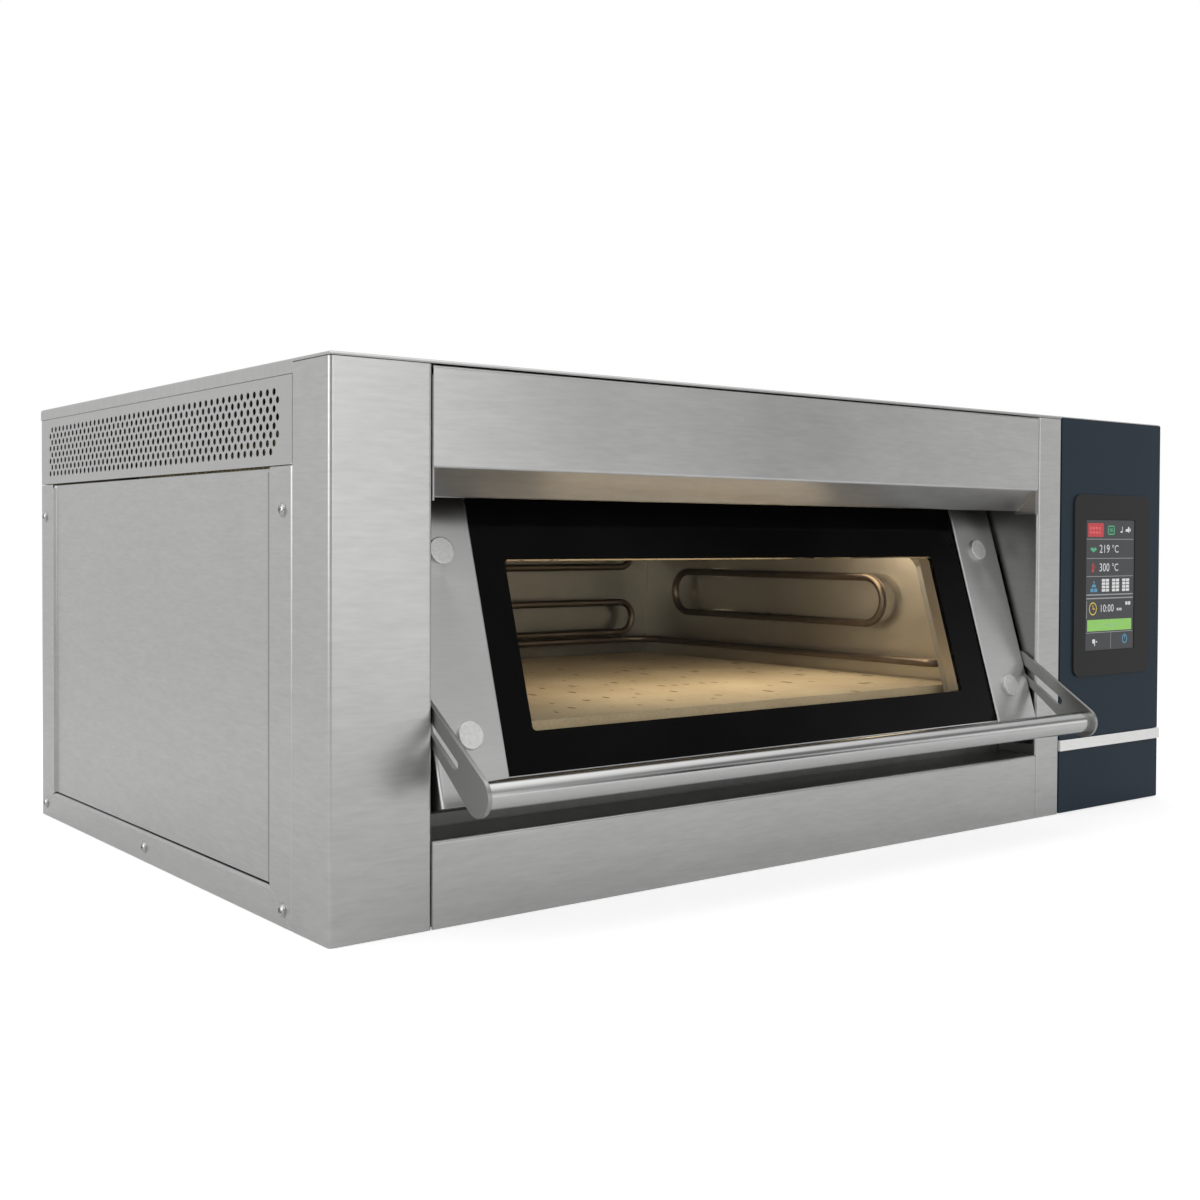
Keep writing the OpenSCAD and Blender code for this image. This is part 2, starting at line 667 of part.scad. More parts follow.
module lamp_housing() color("silver") from_corner() difference() {
    union() {
        bar_y(lamp_x, chamber_y1 - 4, chamber_y1 + 52, lamp_z, lamp_r);
        bar_y(lamp_x, chamber_y1 - 6, chamber_y1, lamp_z, lamp_r + 5);
    }
    bar_y(lamp_x, chamber_y1 - 7, chamber_y1 + 50, lamp_z, lamp_r - 2);
}

module lamp_lens() color([0.9, 0.88, 0.8]) from_corner() {
    bar_y(lamp_x, chamber_y1 - 10, chamber_y1 - 6, lamp_z, lamp_r + 2);
    bar_y(lamp_x, chamber_y1 - 6, chamber_y1 + 10, lamp_z, lamp_r - 2 - clear_gap);
}

module temperature_probe() color("silver") from_corner() {
    bar_y(probe_x, chamber_y1 - 60, chamber_y1 + 30, lamp_z, 3);
    bar_y(probe_x, chamber_y1 + sheet, chamber_y1 + 10, lamp_z, 7);
}

module mirror_if(side) {
    if (side == 0) children();
    else across_chamber() children();
}

module insulation() color([0.8, 0.72, 0.5]) from_corner() {
    wall_x0 = chamber_x0 - sheet - 1;
    wall_x1 = chamber_x1 + sheet + 1;
    // over the ceiling
    difference() {
        box([wall_x0, brow_y + 8, chamber_top + 3], [wall_x1, chamber_y1 + 40, body_h - 36]);
        for (x = hairpins, s = [-1, 1]) bar_z(x + s * hairpin_gap / 2, ceiling_leg_y, chamber_top,
            chamber_top + 28, heater_r + 2);
    }
    // under the floor
    box([wall_x0, recess_y + 6, 40], [wall_x1, chamber_y1 + 40, tray_z - 2]);
    // beside the walls, stopping short of the hinges
    for (side = [0, 1]) mirror_if(side) difference() {
        box([96, brow_y + 8, 60], [wall_x0 - 1, chamber_y1 + 40, body_h - 36]);
        for (s = [-1, 1]) bar_x(90, wall_x0, side_loop_y + s * leg_spread,
            side_loop_z - side_loop_gap / 2, heater_r + 2);
    }
    // behind the rear wall
    along_y(chamber_y1 + 4, chamber_y1 + 40) difference() {
        translate([wall_x0, tray_z - 1]) square([wall_x1 - wall_x0, chamber_top + 3 - tray_z]);
        rear_holes(5);
    }
}
// ---- hinges ---------------------------------------------------------------------

bush_r = 7.5;
bracket_x = -door_gap;
bracket_t = 6;

// The left end of the door seen in a mirror at its right end
module both_ends() {
    children();
    translate([door_w, 0, 0]) mirror([1, 0, 0]) children();
}

module hinge_brackets() color(dull_steel) from_corner() on_door() both_ends()
    along_x(bracket_x - bracket_t, bracket_x) difference() {
        translate([0, hinge_u - 34]) rounded([frame_depth, 50], 6);
        translate([hinge_depth, hinge_u]) circle(bush_r);
    }

module hinge_bushes() color([0.75, 0.6, 0.3]) from_corner() on_door() both_ends() difference() {
    union() {
        bar_x(bracket_x - bracket_t, bracket_x, hinge_depth, hinge_u, bush_r);
        bar_x(bracket_x, -0.6, hinge_depth, hinge_u, bush_r + 2);
    }
    bar_x(bracket_x - bracket_t - 1, 1, hinge_depth, hinge_u, hinge_pin_r + running_gap);
}

// ---- door -----------------------------------------------------------------------

hem = 8;
front_glass = [2 * sheet, 2 * sheet + 5];
rear_glass = [20.5, 24.5];
foot_rail_h = 18.5;
head_rail_h = 22;
head_rail_z = door_len - head_rail_h;
rail_inset = sheet + 4;
window_at = [window_inset[0], window_span[0]];
window_size = [door_w - window_inset[0] - window_inset[1], window_span[1] - window_span[0]];

module window_outline(grow, raise = 0) translate(window_at - [grow, grow])
    rounded(window_size + [2 * grow, 2 * grow + raise], 4 + grow);

module door_strip() difference() {
    along_z(0, door_len) {
        folded([[0, door_t], [0, 0], [strip_w - sheet, 0]]);
        translate([strip_w - sheet, sheet]) circle(sheet);
        translate([strip_w - sheet - hem, 0]) square([hem, 2 * sheet]);
    }
    bar_x(-1, sheet + 1, hinge_depth, hinge_u, hinge_pin_r + 0.2);
}

module left_door_strip() color(steel) from_corner() on_door() door_strip();
module right_door_strip() color(steel) from_corner() on_door()
    translate([door_w, 0, 0]) mirror([1, 0, 0]) door_strip();

module door_rails() color(dull_steel) from_corner() on_door() along_x(rail_inset, door_w - rail_inset) {
    folded([[14, foot_rail_h], [front_glass[0], foot_rail_h], [front_glass[0], 0],
        [door_t, 0], [door_t, foot_rail_h - 2]]);
    folded([[door_t, head_rail_z], [door_t, door_len], [front_glass[1] + 1, door_len],
        [front_glass[1] + 1, head_rail_z + 2]]);
}

module outer_glass() color([0.1, 0.1, 0.1]) from_corner() on_door()
    along_y(front_glass[0], front_glass[1]) translate([strip_w - 12, foot_rail_h + 0.6])
        square([door_w - 2 * strip_w + 24, door_len - foot_rail_h - 2.6]);

// The frame between the glasses stands a little above the clear window
spacer_raise = 8;
module glass_spacer() color("silver") from_corner() on_door()
    along_y(front_glass[1], rear_glass[0]) difference() {
        window_outline(12, spacer_raise);
        window_outline(0, spacer_raise);
    }

module inner_glass() color([0.5, 0.55, 0.55, 0.5]) from_corner() on_door()
    along_y(rear_glass[0], rear_glass[1]) window_outline(20);

module door_back_frame() color(dull_steel) from_corner() on_door() {
    along_y(door_t - sheet, door_t) difference() {
        translate([sheet + 0.2, foot_rail_h - 1.5])
            square([door_w - 2 * sheet - 0.4, head_rail_z - foot_rail_h + 1]);
        window_outline(8);
    }
    along_y(rear_glass[1], door_t - sheet) difference() {
        window_outline(8 + sheet);
        window_outline(8);
    }
}

module door_caps() color("silver") from_corner() on_door()
    for (x = [34, door_w - 35], u = [54.5, 206.5]) translate([x, 0, u]) rotate([90, 0, 0]) {
        cylinder(h = 2.8, d = cap_d);
        translate([0, 0, 2.8]) cylinder(h = 0.7, d1 = cap_d, d2 = cap_d - 1.4);
    }

// Points of the arm are given in the cabinet's (Y, Z) and carried to the door's own frame
function in_door(y, z) = [
    (y + door_foot_out) * cos(door_slant) - (z - door_foot_z) * sin(door_slant),
    (y + door_foot_out) * sin(door_slant) + (z - door_foot_z) * cos(door_slant)];
tube_at = in_door(-handle_reach, handle_z);

module handle_arms() color(steel) from_corner() on_door() both_ends() along_x(-arm_t, 0) difference() {
    union() {
        tapered_bar(tube_at, 16, in_door(20, 170), 12);
        translate([5, 62]) rounded([24, 80], 6);
    }
    tapered_bar(in_door(-31.5, 131.5), 4, in_door(14, 162.5), 3.9);
}

module handle_tube() color("silver") from_corner() on_door() difference() {
    bar_x(0, door_w, tube_at.x, tube_at.y, handle_d / 2);
    bar_x(-1, door_w + 1, tube_at.x, tube_at.y, handle_d / 2 - 1.5);
}

module hinge_pins() color("silver") from_corner() on_door() both_ends() {
    bar_x(bracket_x - bracket_t - 2, sheet, hinge_depth, hinge_u, hinge_pin_r);
    bar_x(sheet, sheet + 3, hinge_depth, hinge_u, hinge_pin_r + 5);
}

// ---- steam outlet -----------------------------------------------------------------

damper_y = body_d - 18;
flue_wall = 1.5;
spindle_r = 3;
module flue_spigot() color("silver") from_corner() difference() {
    union() {
        bar_y(flue_x, chamber_y1, body_d + flue_out, flue_z, flue_d / 2);
        bar_y(flue_x, chamber_y1 + sheet, chamber_y1 + 3, flue_z, flue_d / 2 + 8);
        bar_y(flue_x, body_d, body_d + 1.5, flue_z, flue_d / 2 + 12);
    }
    bar_y(flue_x, chamber_y1 - 1, body_d + flue_out + 1, flue_z, flue_d / 2 - flue_wall);
    bar_z(flue_x, damper_y, flue_z - 40, flue_z + 40, spindle_r + running_gap);
}

module damper_flap() color("silver") from_corner() {
    bar_y(flue_x, damper_y - 1, damper_y + 1, flue_z, flue_d / 2 - flue_wall - 0.8);
    bar_z(flue_x, damper_y, flue_z - flue_d / 2 - 4, motor_z + 14, spindle_r);
}

// Small gear motor that turns the flap, on a tab fixed to the back panel
motor_z = flue_z + flue_d / 2 + 6;
motor_size = [46, 24, 30];
module damper_motor() color([0.3, 0.3, 0.32]) from_corner() difference() {
    union() {
        translate([flue_x - motor_size.x / 2, damper_y - motor_size.y / 2, motor_z]) cube(motor_size);
        box([flue_x - 34, body_d - sheet - 2, motor_z + 4], [flue_x + 34, body_d - sheet, motor_z + 24]);
        box([flue_x - 10, damper_y, motor_z + 4], [flue_x + 10, body_d - sheet - 1, motor_z + 24]);
    }
    bar_z(flue_x, damper_y, motor_z - 1, motor_z + 15, spindle_r + running_gap);
}

// ---- cooling fan --------------------------------------------------------------------

module fan_place() from_corner()
    translate([fan_x, body_d - sheet - fan_depth, fan_z]) rotate([-90, 0, 0]) children();

module fan_housing() color([0.15, 0.15, 0.15]) fan_place() {
    difference() {
        along_z(0, fan_depth) translate([-fan_size / 2, -fan_size / 2]) rounded([fan_size, fan_size], 6);
        translate([0, 0, -1]) cylinder(h = fan_depth + 2, r = fan_size / 2 - 3);
    }
    cylinder(h = 4, r = 20);
    translate([0, 0, 4]) cylinder(h = 22, r = fan_shaft_r);
    for (a = [45:90:315]) rotate(a) translate([18, -4, 0]) cube([fan_size / 2 - 20, 8, 4]);
}

module fan_rotor() color([0.25, 0.25, 0.25]) fan_place() difference() {
    union() {
        translate([0, 0, 6]) cylinder(h = 26, r = 19);
        for (k = [0:6]) rotate(k * 360 / 7) translate([17, 0, 19]) rotate([38, 0, 0])
            translate([0, -13, -1]) cube([36, 26, 2]);
    }
    translate([0, 0, 5]) cylinder(h = 22, r = fan_shaft_r + running_gap);
}

// ---- what is drawn ---------------------------------------------------------------------

base_pan();
leg_sockets();
left_post();
right_post();
header_panel();
plinth_panel();
roof_cover();
left_side_panel();
left_side_rail();
left_vent_panel();
right_side_panel();
right_side_rail();
right_vent_panel();
back_panel();
case_screws();
control_frame();
upper_fascia();
fascia_trim();
lower_fascia();
screen_bezel();
touch_screen();
control_board();
partition();
contactors();
cable_gland();
chamber_front();
chamber_sides();
chamber_rear();
chamber_ceiling();
chamber_floor();
door_gasket();
baking_stone();
stone_bearers();
rear_heaters();
side_heaters();
perimeter_heater();
deck_heaters();
heater_clips();
lamp_housing();
lamp_lens();
temperature_probe();
insulation();
hinge_brackets();
hinge_bushes();
left_door_strip();
right_door_strip();
door_rails();
outer_glass();
glass_spacer();
inner_glass();
door_back_frame();
door_caps();
handle_arms();
handle_tube();
hinge_pins();
flue_spigot();
damper_flap();
damper_motor();
fan_housing();
fan_rotor();
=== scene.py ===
# Deck oven, dressed for rendering. Metres, +Z up, the door looks towards -Y.
import math
import bpy
import bmesh
from mathutils import Matrix, Vector


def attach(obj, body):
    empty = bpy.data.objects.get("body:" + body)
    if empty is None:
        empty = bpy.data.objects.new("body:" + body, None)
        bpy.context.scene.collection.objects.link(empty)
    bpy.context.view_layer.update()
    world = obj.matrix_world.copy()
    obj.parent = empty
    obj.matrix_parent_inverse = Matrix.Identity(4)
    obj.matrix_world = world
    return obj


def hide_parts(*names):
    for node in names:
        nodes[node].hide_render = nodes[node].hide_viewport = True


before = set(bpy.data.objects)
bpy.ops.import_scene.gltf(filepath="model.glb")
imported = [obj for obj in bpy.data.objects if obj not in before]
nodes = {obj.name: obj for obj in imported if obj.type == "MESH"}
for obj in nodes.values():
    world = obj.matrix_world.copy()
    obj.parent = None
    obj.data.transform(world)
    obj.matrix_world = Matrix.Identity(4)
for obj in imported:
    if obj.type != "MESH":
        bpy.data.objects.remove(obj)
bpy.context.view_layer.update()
print("frame loaded:", len(nodes), "nodes")

mm = 0.001
cabinet = {"width": 1090, "depth": 670}    # millimetres


def corner(x, y, z):  # millimetres from the front left corner of the base
    return Vector((x * mm - cabinet["width"] * mm / 2, y * mm - cabinet["depth"] * mm / 2, z * mm))


# materials

def socket(node, name, value):
    node.inputs[name].default_value = value
    return node


def newMaterial(name):
    mat = bpy.data.materials.new(name)
    mat.use_nodes = True
    tree = mat.node_tree
    shader = tree.nodes["Principled BSDF"]
    return mat, tree, shader


def addNode(tree, kind, **values):
    node = tree.nodes.new(kind)
    for key, value in values.items():
        setattr(node, key, value)
    return node


even = (1, 1, 1)    # for noise that isn't pulled out


def stretched(tree, stretch, scale, detail, rough):
    # noise pulled out along the axes with a small stretch
    place = addNode(tree, "ShaderNodeTexCoord")
    mapping = addNode(tree, "ShaderNodeMapping")
    mapping.inputs["Scale"].default_value = stretch
    noise = addNode(tree, "ShaderNodeTexNoise")
    socket(noise, "Scale", scale)
    socket(noise, "Detail", detail)
    socket(noise, "Roughness", rough)
    tree.links.new(place.outputs["Object"], mapping.inputs["Vector"])
    tree.links.new(mapping.outputs["Vector"], noise.inputs["Vector"])
    return noise.outputs["Fac"]


def spread(tree, source, low, high, fromLow=0.3, fromHigh=0.7):
    node = addNode(tree, "ShaderNodeMapRange")
    for key, value in (("From Min", fromLow), ("From Max", fromHigh), ("To Min", low), ("To Max", high)):
        socket(node, key, value)
    tree.links.new(source, node.inputs["Value"])
    return node.outputs["Result"]


def tinted(tree, source, dark, light, fromLow=0.3, fromHigh=0.7):
    ramp = addNode(tree, "ShaderNodeValToRGB")
    ramp.color_ramp.elements[0].position = fromLow
    ramp.color_ramp.elements[0].color = (*dark, 1)
    ramp.color_ramp.elements[1].position = fromHigh
    ramp.color_ramp.elements[1].color = (*light, 1)
    tree.links.new(source, ramp.inputs["Fac"])
    return ramp.outputs["Color"]


def summed(tree, a, b, shareB):
    node = addNode(tree, "ShaderNodeMix")
    socket(node, "Factor", shareB)
    tree.links.new(a, node.inputs[2])
    tree.links.new(b, node.inputs[3])
    return node.outputs[0]


def coated(tree, shader, colour, gloss):
    tree.links.new(colour, shader.inputs["Base Color"])
    tree.links.new(gloss, shader.inputs["Roughness"])


def bumped(tree, shader, height, strength, distance, roundEdge=0.0):
    bump = addNode(tree, "ShaderNodeBump")
    socket(bump, "Strength", strength)
    socket(bump, "Distance", distance)
    tree.links.new(height, bump.inputs["Height"])
    if roundEdge:
        bevel = addNode(tree, "ShaderNodeBevel", samples=4)
        socket(bevel, "Radius", roundEdge)
        tree.links.new(bevel.outputs["Normal"], bump.inputs["Normal"])
    tree.links.new(bump.outputs["Normal"], shader.inputs["Normal"])


grain = {
    "level": (55, 55, 400),    # lines run sideways on every upright face
    "roof": (55, 400, 55),     # lines run across the roof
}


def brushedSteel(name, tone, roughness, lines="level", contrast=0.065, edge=0.0009, stretchGloss=0.4):
    mat, tree, shader = newMaterial(name)
    fine = stretched(tree, grain[lines], 1.0, 1.5, 0.5)
    soft = stretched(tree, tuple(v * 0.3 for v in grain[lines]), 1.0, 2.0, 0.5)
    cloud = stretched(tree, even, 6.0, 3.0, 0.5)
    lineMix = summed(tree, fine, soft, 0.4)
    dark = tuple(c * (1 - contrast) for c in tone)
    light = tuple(min(1, c * (1 + contrast)) for c in tone)
    gloss = spread(tree, cloud, roughness - 0.02, roughness + 0.03)
    coated(tree, shader, tinted(tree, lineMix, dark, light), gloss)
    socket(shader, "Metallic", 1.0)
    socket(shader, "Anisotropic", stretchGloss)
    bumped(tree, shader, lineMix, 0.05, 0.0001, edge)
    return mat


def plainMetal(name, dark, light, roughness, scale=60, edge=0.0005, strength=0.05):
    mat, tree, shader = newMaterial(name)
    mottle = stretched(tree, even, scale, 4.0, 0.6)
    cloud = stretched(tree, even, 7.0, 3.0, 0.5)
    both = summed(tree, mottle, cloud, 0.5)
    gloss = spread(tree, both, roughness - 0.06, roughness + 0.06)
    coated(tree, shader, tinted(tree, both, dark, light), gloss)
    socket(shader, "Metallic", 1.0)
    bumped(tree, shader, cloud, strength, 0.0002, edge)
    return mat


def moulded(name, dark, light, roughness, scale=900, strength=0.15, edge=0.0006, shine=0.5):
    mat, tree, shader = newMaterial(name)
    skin = stretched(tree, even, scale, 3.0, 0.5)
    cloud = stretched(tree, even, 9.0, 3.0, 0.5)
    gloss = spread(tree, cloud, roughness - 0.04, roughness + 0.05)
    coated(tree, shader, tinted(tree, cloud, dark, light), gloss)
    socket(shader, "Specular IOR Level", shine)
    bumped(tree, shader, skin, strength, 0.0001, edge)
    return mat


def clearGlass(name, tint, ior=1.45):
    mat, tree, shader = newMaterial(name)
    haze = stretched(tree, even, 14.0, 3.0, 0.5)
    faint = tinted(tree, haze, tuple(c * 0.985 for c in tint), tint)
    coated(tree, shader, faint, spread(tree, haze, 0.0, 0.03))
    socket(shader, "Transmission Weight", 1.0)
    socket(shader, "IOR", ior)
    return mat


def printedGlass(name, shine=0.05):
    mat, tree, shader = newMaterial(name)
    haze = stretched(tree, even, 11.0, 4.0, 0.55)
    ink = tinted(tree, haze, (0.0035, 0.0035, 0.0035), (0.006, 0.006, 0.006))
    coated(tree, shader, ink, spread(tree, haze, 0.06, 0.12))
    socket(shader, "Specular IOR Level", shine)
    return mat


stone = {
    "dark": (0.33, 0.275, 0.19), "light": (0.46, 0.40, 0.295),
    "speck": (0.045, 0.024, 0.012), "speckSize": 0.19, "speckShape": (1, 0.35, 1),
    "cells": 52.0, "bare": 0.35,    # a cell whose random value is lower holds no speck
}


def pits(tree):
    # sparse oval marks on the upper face, one at most in a cell
    place = addNode(tree, "ShaderNodeTexCoord")
    mapping = addNode(tree, "ShaderNodeMapping")
    mapping.inputs["Scale"].default_value = stone["speckShape"]
    cells = addNode(tree, "ShaderNodeTexVoronoi", voronoi_dimensions="2D")
    socket(cells, "Scale", stone["cells"])
    tree.links.new(place.outputs["Object"], mapping.inputs["Vector"])
    tree.links.new(mapping.outputs["Vector"], cells.inputs["Vector"])
    facing = addNode(tree, "ShaderNodeSeparateXYZ")
    tree.links.new(addNode(tree, "ShaderNodeNewGeometry").outputs["Normal"], facing.inputs[0])
    chance = spread(tree, cells.outputs["Color"], 0.0, stone["speckSize"], stone["bare"], 1.0)
    gap = addNode(tree, "ShaderNodeMath", operation="SUBTRACT")
    tree.links.new(chance, gap.inputs[0])
    tree.links.new(cells.outputs["Distance"], gap.inputs[1])
    mark = addNode(tree, "ShaderNodeMath", operation="MULTIPLY")
    tree.links.new(spread(tree, gap.outputs[0], 0.0, 1.0, 0.0, 0.02), mark.inputs[0])
    tree.links.new(spread(tree, facing.outputs["Z"], 0.0, 1.0, 0.6, 0.9), mark.inputs[1])
    return mark.outputs[0]


def bakingStone(name):
    mat, tree, shader = newMaterial(name)
    cloud = stretched(tree, even, 9.0, 5.0, 0.6)
    sand = stretched(tree, even, 420.0, 3.0, 0.6)
    base = tinted(tree, summed(tree, cloud, sand, 0.4), stone["dark"], stone["light"], 0.35, 0.65)
    mix = addNode(tree, "ShaderNodeMix", data_type="RGBA")
    mix.inputs[7].default_value = (*stone["speck"], 1)
    tree.links.new(pits(tree), mix.inputs[0])
    tree.links.new(base, mix.inputs[6])
    coated(tree, shader, mix.outputs[2], spread(tree, cloud, 0.78, 0.92))
    bumped(tree, shader, sand, 0.35, 0.0004, 0.0012)
    return mat


def fibre(name, dark, light, scale=260):
    mat, tree, shader = newMaterial(name)
    place = addNode(tree, "ShaderNodeTexCoord")
    weave = addNode(tree, "ShaderNodeTexWave", wave_type="BANDS", bands_direction="DIAGONAL")
    socket(weave, "Scale", scale)
    socket(weave, "Distortion", 1.5)
    tree.links.new(place.outputs["Object"], weave.inputs["Vector"])
    fluff = stretched(tree, even, scale * 1.4, 4.0, 0.6)
    both = summed(tree, weave.outputs["Fac"], fluff, 0.5)
    tree.links.new(tinted(tree, both, dark, light), shader.inputs["Base Color"])
    socket(shader, "Roughness", 0.95)
    bumped(tree, shader, both, 0.6, 0.0006)
    return mat


def glowing(name, colour, strength):
    mat, tree, shader = newMaterial(name)
    flicker = stretched(tree, even, 700.0, 1.0, 0.5)
    dim = tuple(c * 0.92 for c in colour)
    shade = tinted(tree, flicker, dim, colour)
    tree.links.new(shade, shader.inputs["Base Color"])
    tree.links.new(shade, shader.inputs["Emission Color"])
    socket(shader, "Emission Strength", strength)
    socket(shader, "Roughness", 0.35)
    return mat


steelTone = (0.53, 0.53, 0.525)
brightTone = (0.58, 0.58, 0.575)
looks = {
    "casing": brushedSteel("casing steel", steelTone, 0.30),
    "roof": brushedSteel("roof steel", steelTone, 0.30, lines="roof"),
    # darker steel for the jamb sheets: painted shade
    "jamb": brushedSteel("jamb painted shade steel", (0.33, 0.33, 0.326), 0.30, contrast=0.05, edge=0.0),
    "door": brushedSteel("door steel", brightTone, 0.30, contrast=0.03),
    "satin": brushedSteel("satin steel", brightTone, 0.17, contrast=0.03, edge=0.0004, stretchGloss=0.3),
    "trim": brushedSteel("trim steel", (0.92, 0.92, 0.91), 0.20, contrast=0.03, edge=0.0006,
                         stretchGloss=0.3),
    # darker copy of the galvanised sheet for chamber_front: painted shade for the enclosed recess under the
    # door
    "shade": plainMetal("recess painted shade", (0.15, 0.15, 0.148), (0.21, 0.21, 0.205), 0.42, scale=45),
    # darker steel for the handle arms: a painted reflection of the dark post beside them
    "arm": brushedSteel("arm steel painted shade", (0.37, 0.37, 0.365), 0.30, contrast=0.03, edge=0.0006,
                        stretchGloss=0.2),
    "vent": brushedSteel("vent steel", steelTone, 0.30, contrast=0.02, edge=0.0),
    # darker steel for strips in seams and gaps and on the joggle slopes: painted shade
    "seam": plainMetal("seam painted shade", (0.30, 0.30, 0.298), (0.38, 0.38, 0.375), 0.40),
    "cover": plainMetal("cover disc steel", (0.56, 0.56, 0.555), (0.86, 0.86, 0.85), 0.45, scale=420),
    "inner": plainMetal("galvanised sheet", (0.34, 0.34, 0.335), (0.46, 0.46, 0.45), 0.42, scale=45),
    "lining": plainMetal("chamber lining", (0.60, 0.575, 0.53), (0.66, 0.635, 0.585), 0.345, scale=30,
                         edge=0.0006, strength=0.04),
    # the same lining as the side walls, painted darker: painted shade on the rear wall
    "rear": plainMetal("rear lining painted shade", (0.20, 0.192, 0.172), (0.26, 0.25, 0.226), 0.345, scale=30,
                       edge=0.0006, strength=0.04),
    "element": plainMetal("element sheath", (0.14, 0.115, 0.092), (0.20, 0.165, 0.135), 0.36, scale=50,
                          strength=0.04),
    "plated": plainMetal("plated steel", (0.40, 0.40, 0.40), (0.55, 0.55, 0.55), 0.20, scale=300,
                         edge=0.0002),
    "bronze": plainMetal("bush bronze", (0.42, 0.27, 0.12), (0.58, 0.39, 0.18), 0.35, scale=150),
    "navy": moulded("navy powder coat", (0.013, 0.027, 0.043), (0.016, 0.031, 0.048), 0.42, scale=1300,
                    strength=0.10, shine=0.17),
    "surround": moulded("screen surround", (0.023, 0.023, 0.023), (0.027, 0.027, 0.027), 0.5, scale=1600,
                        strength=0.12, shine=0.2),
    "black": moulded("black plastic", (0.012, 0.012, 0.012), (0.022, 0.022, 0.022), 0.5),
    "pale": moulded("switch plastic", (0.55, 0.54, 0.50), (0.64, 0.63, 0.59), 0.5),
    "board": moulded("board lacquer", (0.010, 0.07, 0.03), (0.016, 0.10, 0.045), 0.35),
    "stone": bakingStone("baking stone"),
    "seal": fibre("fibre seal", (0.28, 0.25, 0.20), (0.50, 0.46, 0.38)),
    "wool": fibre("mineral wool", (0.36, 0.28, 0.14), (0.56, 0.46, 0.26), scale=60),
    "lens": clearGlass("lamp glass", (1.0, 0.93, 0.80)),
    "clear": clearGlass("clear glass", (0.97, 0.975, 0.96), ior=1.06),
    "print": printedGlass("black printed glass"),
    "screen": glowing("display glass", (0.034, 0.035, 0.038), 0.42),
    "inkWhite": glowing("display white", (0.60, 0.62, 0.62), 0.42),
    "inkGrey": glowing("display grey", (0.26, 0.27, 0.28), 0.4),
    "inkRed": glowing("display red", (0.44, 0.035, 0.045), 0.45),
    "inkPink": glowing("display pink", (0.75, 0.36, 0.36), 0.5),
    "inkGreen": glowing("display green", (0.22, 0.47, 0.10), 0.5),
    "inkTeal": glowing("display teal", (0.06, 0.33, 0.16), 0.5),
    "inkBlue": glowing("display blue", (0.07, 0.25, 0.40), 0.5),
    "inkYellow": glowing("display yellow", (0.56, 0.42, 0.07), 0.5),
}
print("materials made:", len(looks))

wears = {
    "casing": "left_post right_post header_panel plinth_panel left_side_panel left_side_rail "
              "right_side_panel right_side_rail back_panel",
    "vent": "left_vent_panel right_vent_panel",
    "roof": "roof_cover",
    "door": "left_door_strip right_door_strip",
    "trim": "fascia_trim",
    "shade": "chamber_front",
    "satin": "handle_tube lamp_housing temperature_probe flue_spigot damper_flap",
    "arm": "handle_arms",
    "cover": "door_caps",
    "inner": "base_pan partition chamber_floor stone_bearers hinge_brackets control_frame door_rails "
             "door_back_frame",
    "lining": "chamber_sides chamber_ceiling heater_clips glass_spacer",
    "rear": "chamber_rear",
    "element": "rear_heaters side_heaters perimeter_heater deck_heaters",
    "plated": "leg_sockets case_screws hinge_pins",
    "bronze": "hinge_bushes",
    "navy": "upper_fascia lower_fascia",
    "surround": "screen_bezel",
    "black": "cable_gland fan_housing fan_rotor damper_motor",
    "pale": "contactors",
    "board": "control_board",
    "stone": "baking_stone",
    "seal": "door_gasket",
    "wool": "insulation",
    "lens": "lamp_lens",
    "clear": "inner_glass",
    "print": "outer_glass",
    "screen": "touch_screen",
}
for look, names in wears.items():
    for name in names.split():
        nodes[name].data.materials.clear()
        nodes[name].data.materials.append(looks[look])
print("frame dressed")


# making pieces

def putInScene(item):
    bpy.context.scene.collection.objects.link(item)


def addPiece(name, mesh, look, body, smooth=True):
    piece = bpy.data.objects.new(name, mesh)
    putInScene(piece)
    mesh.materials.append(looks[look])
    for face in mesh.polygons:
        face.use_smooth = smooth
    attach(piece, body)
    return piece


def addCasingSheet(mesh, look):
    addPiece(mesh.name, mesh, look, "case", False)


def meshFrom(bm, name, outward=True):
    if outward:
        bmesh.ops.recalc_face_normals(bm, faces=bm.faces[:])
    mesh = bpy.data.meshes.new(name)
    bm.to_mesh(mesh)
    bm.free()
    return mesh


def roundedOutline(x0, z0, x1, z1, radius, steps=8):
    left, right, low, high = x0 + radius, x1 - radius, z0 + radius, z1 - radius
    points = []
    for cx, cz, start in ((right, high, 0), (left, high, 90), (left, low, 180), (right, low, 270)):
        for k in range(steps + 1):
            a = math.radians(start + 90 * k / steps)
            points.append((cx + radius * math.cos(a), cz + radius * math.sin(a)))
    return points


def closedSolid(name, near, far):
    # solid between two like outlines, each a list of points
    bm = bmesh.new()
    front, back = ([bm.verts.new(point) for point in outline] for outline in (near, far))
    bm.faces.new(front)
    bm.faces.new(list(reversed(back)))
    for k in range(len(front)):
        n = (k + 1) % len(front)
        bm.faces.new((front[n], front[k], back[k], back[n]))
    return meshFrom(bm, name)


def plateMesh(name, outline, y0, y1):
    # flat plate between two depths, its outline given in (x, z)
    near, far = ([(x, y, z) for x, z in outline] for y in (y0, y1))
    return closedSolid(name, near, far)


def borderMesh(name, outline, hole, y0, y1):
    # flat plate with a hole that has as many points as its outline
    bm = bmesh.new()
    rings = []
    for y in (y0, y1):
        for points in (outline, hole):
            rings.append([bm.verts.new((x, y, z)) for x, z in points])
    front, frontHole, back, backHole = rings
    for k in range(len(outline)):
        n = (k + 1) % len(outline)
        bm.faces.new((front[k], front[n], frontHole[n], frontHole[k]))
        bm.faces.new((back[n], back[k], backHole[k], backHole[n]))
        bm.faces.new((front[n], front[k], back[k], back[n]))
        bm.faces.new((frontHole[k], frontHole[n], backHole[n], backHole[k]))
    return meshFrom(bm, name)


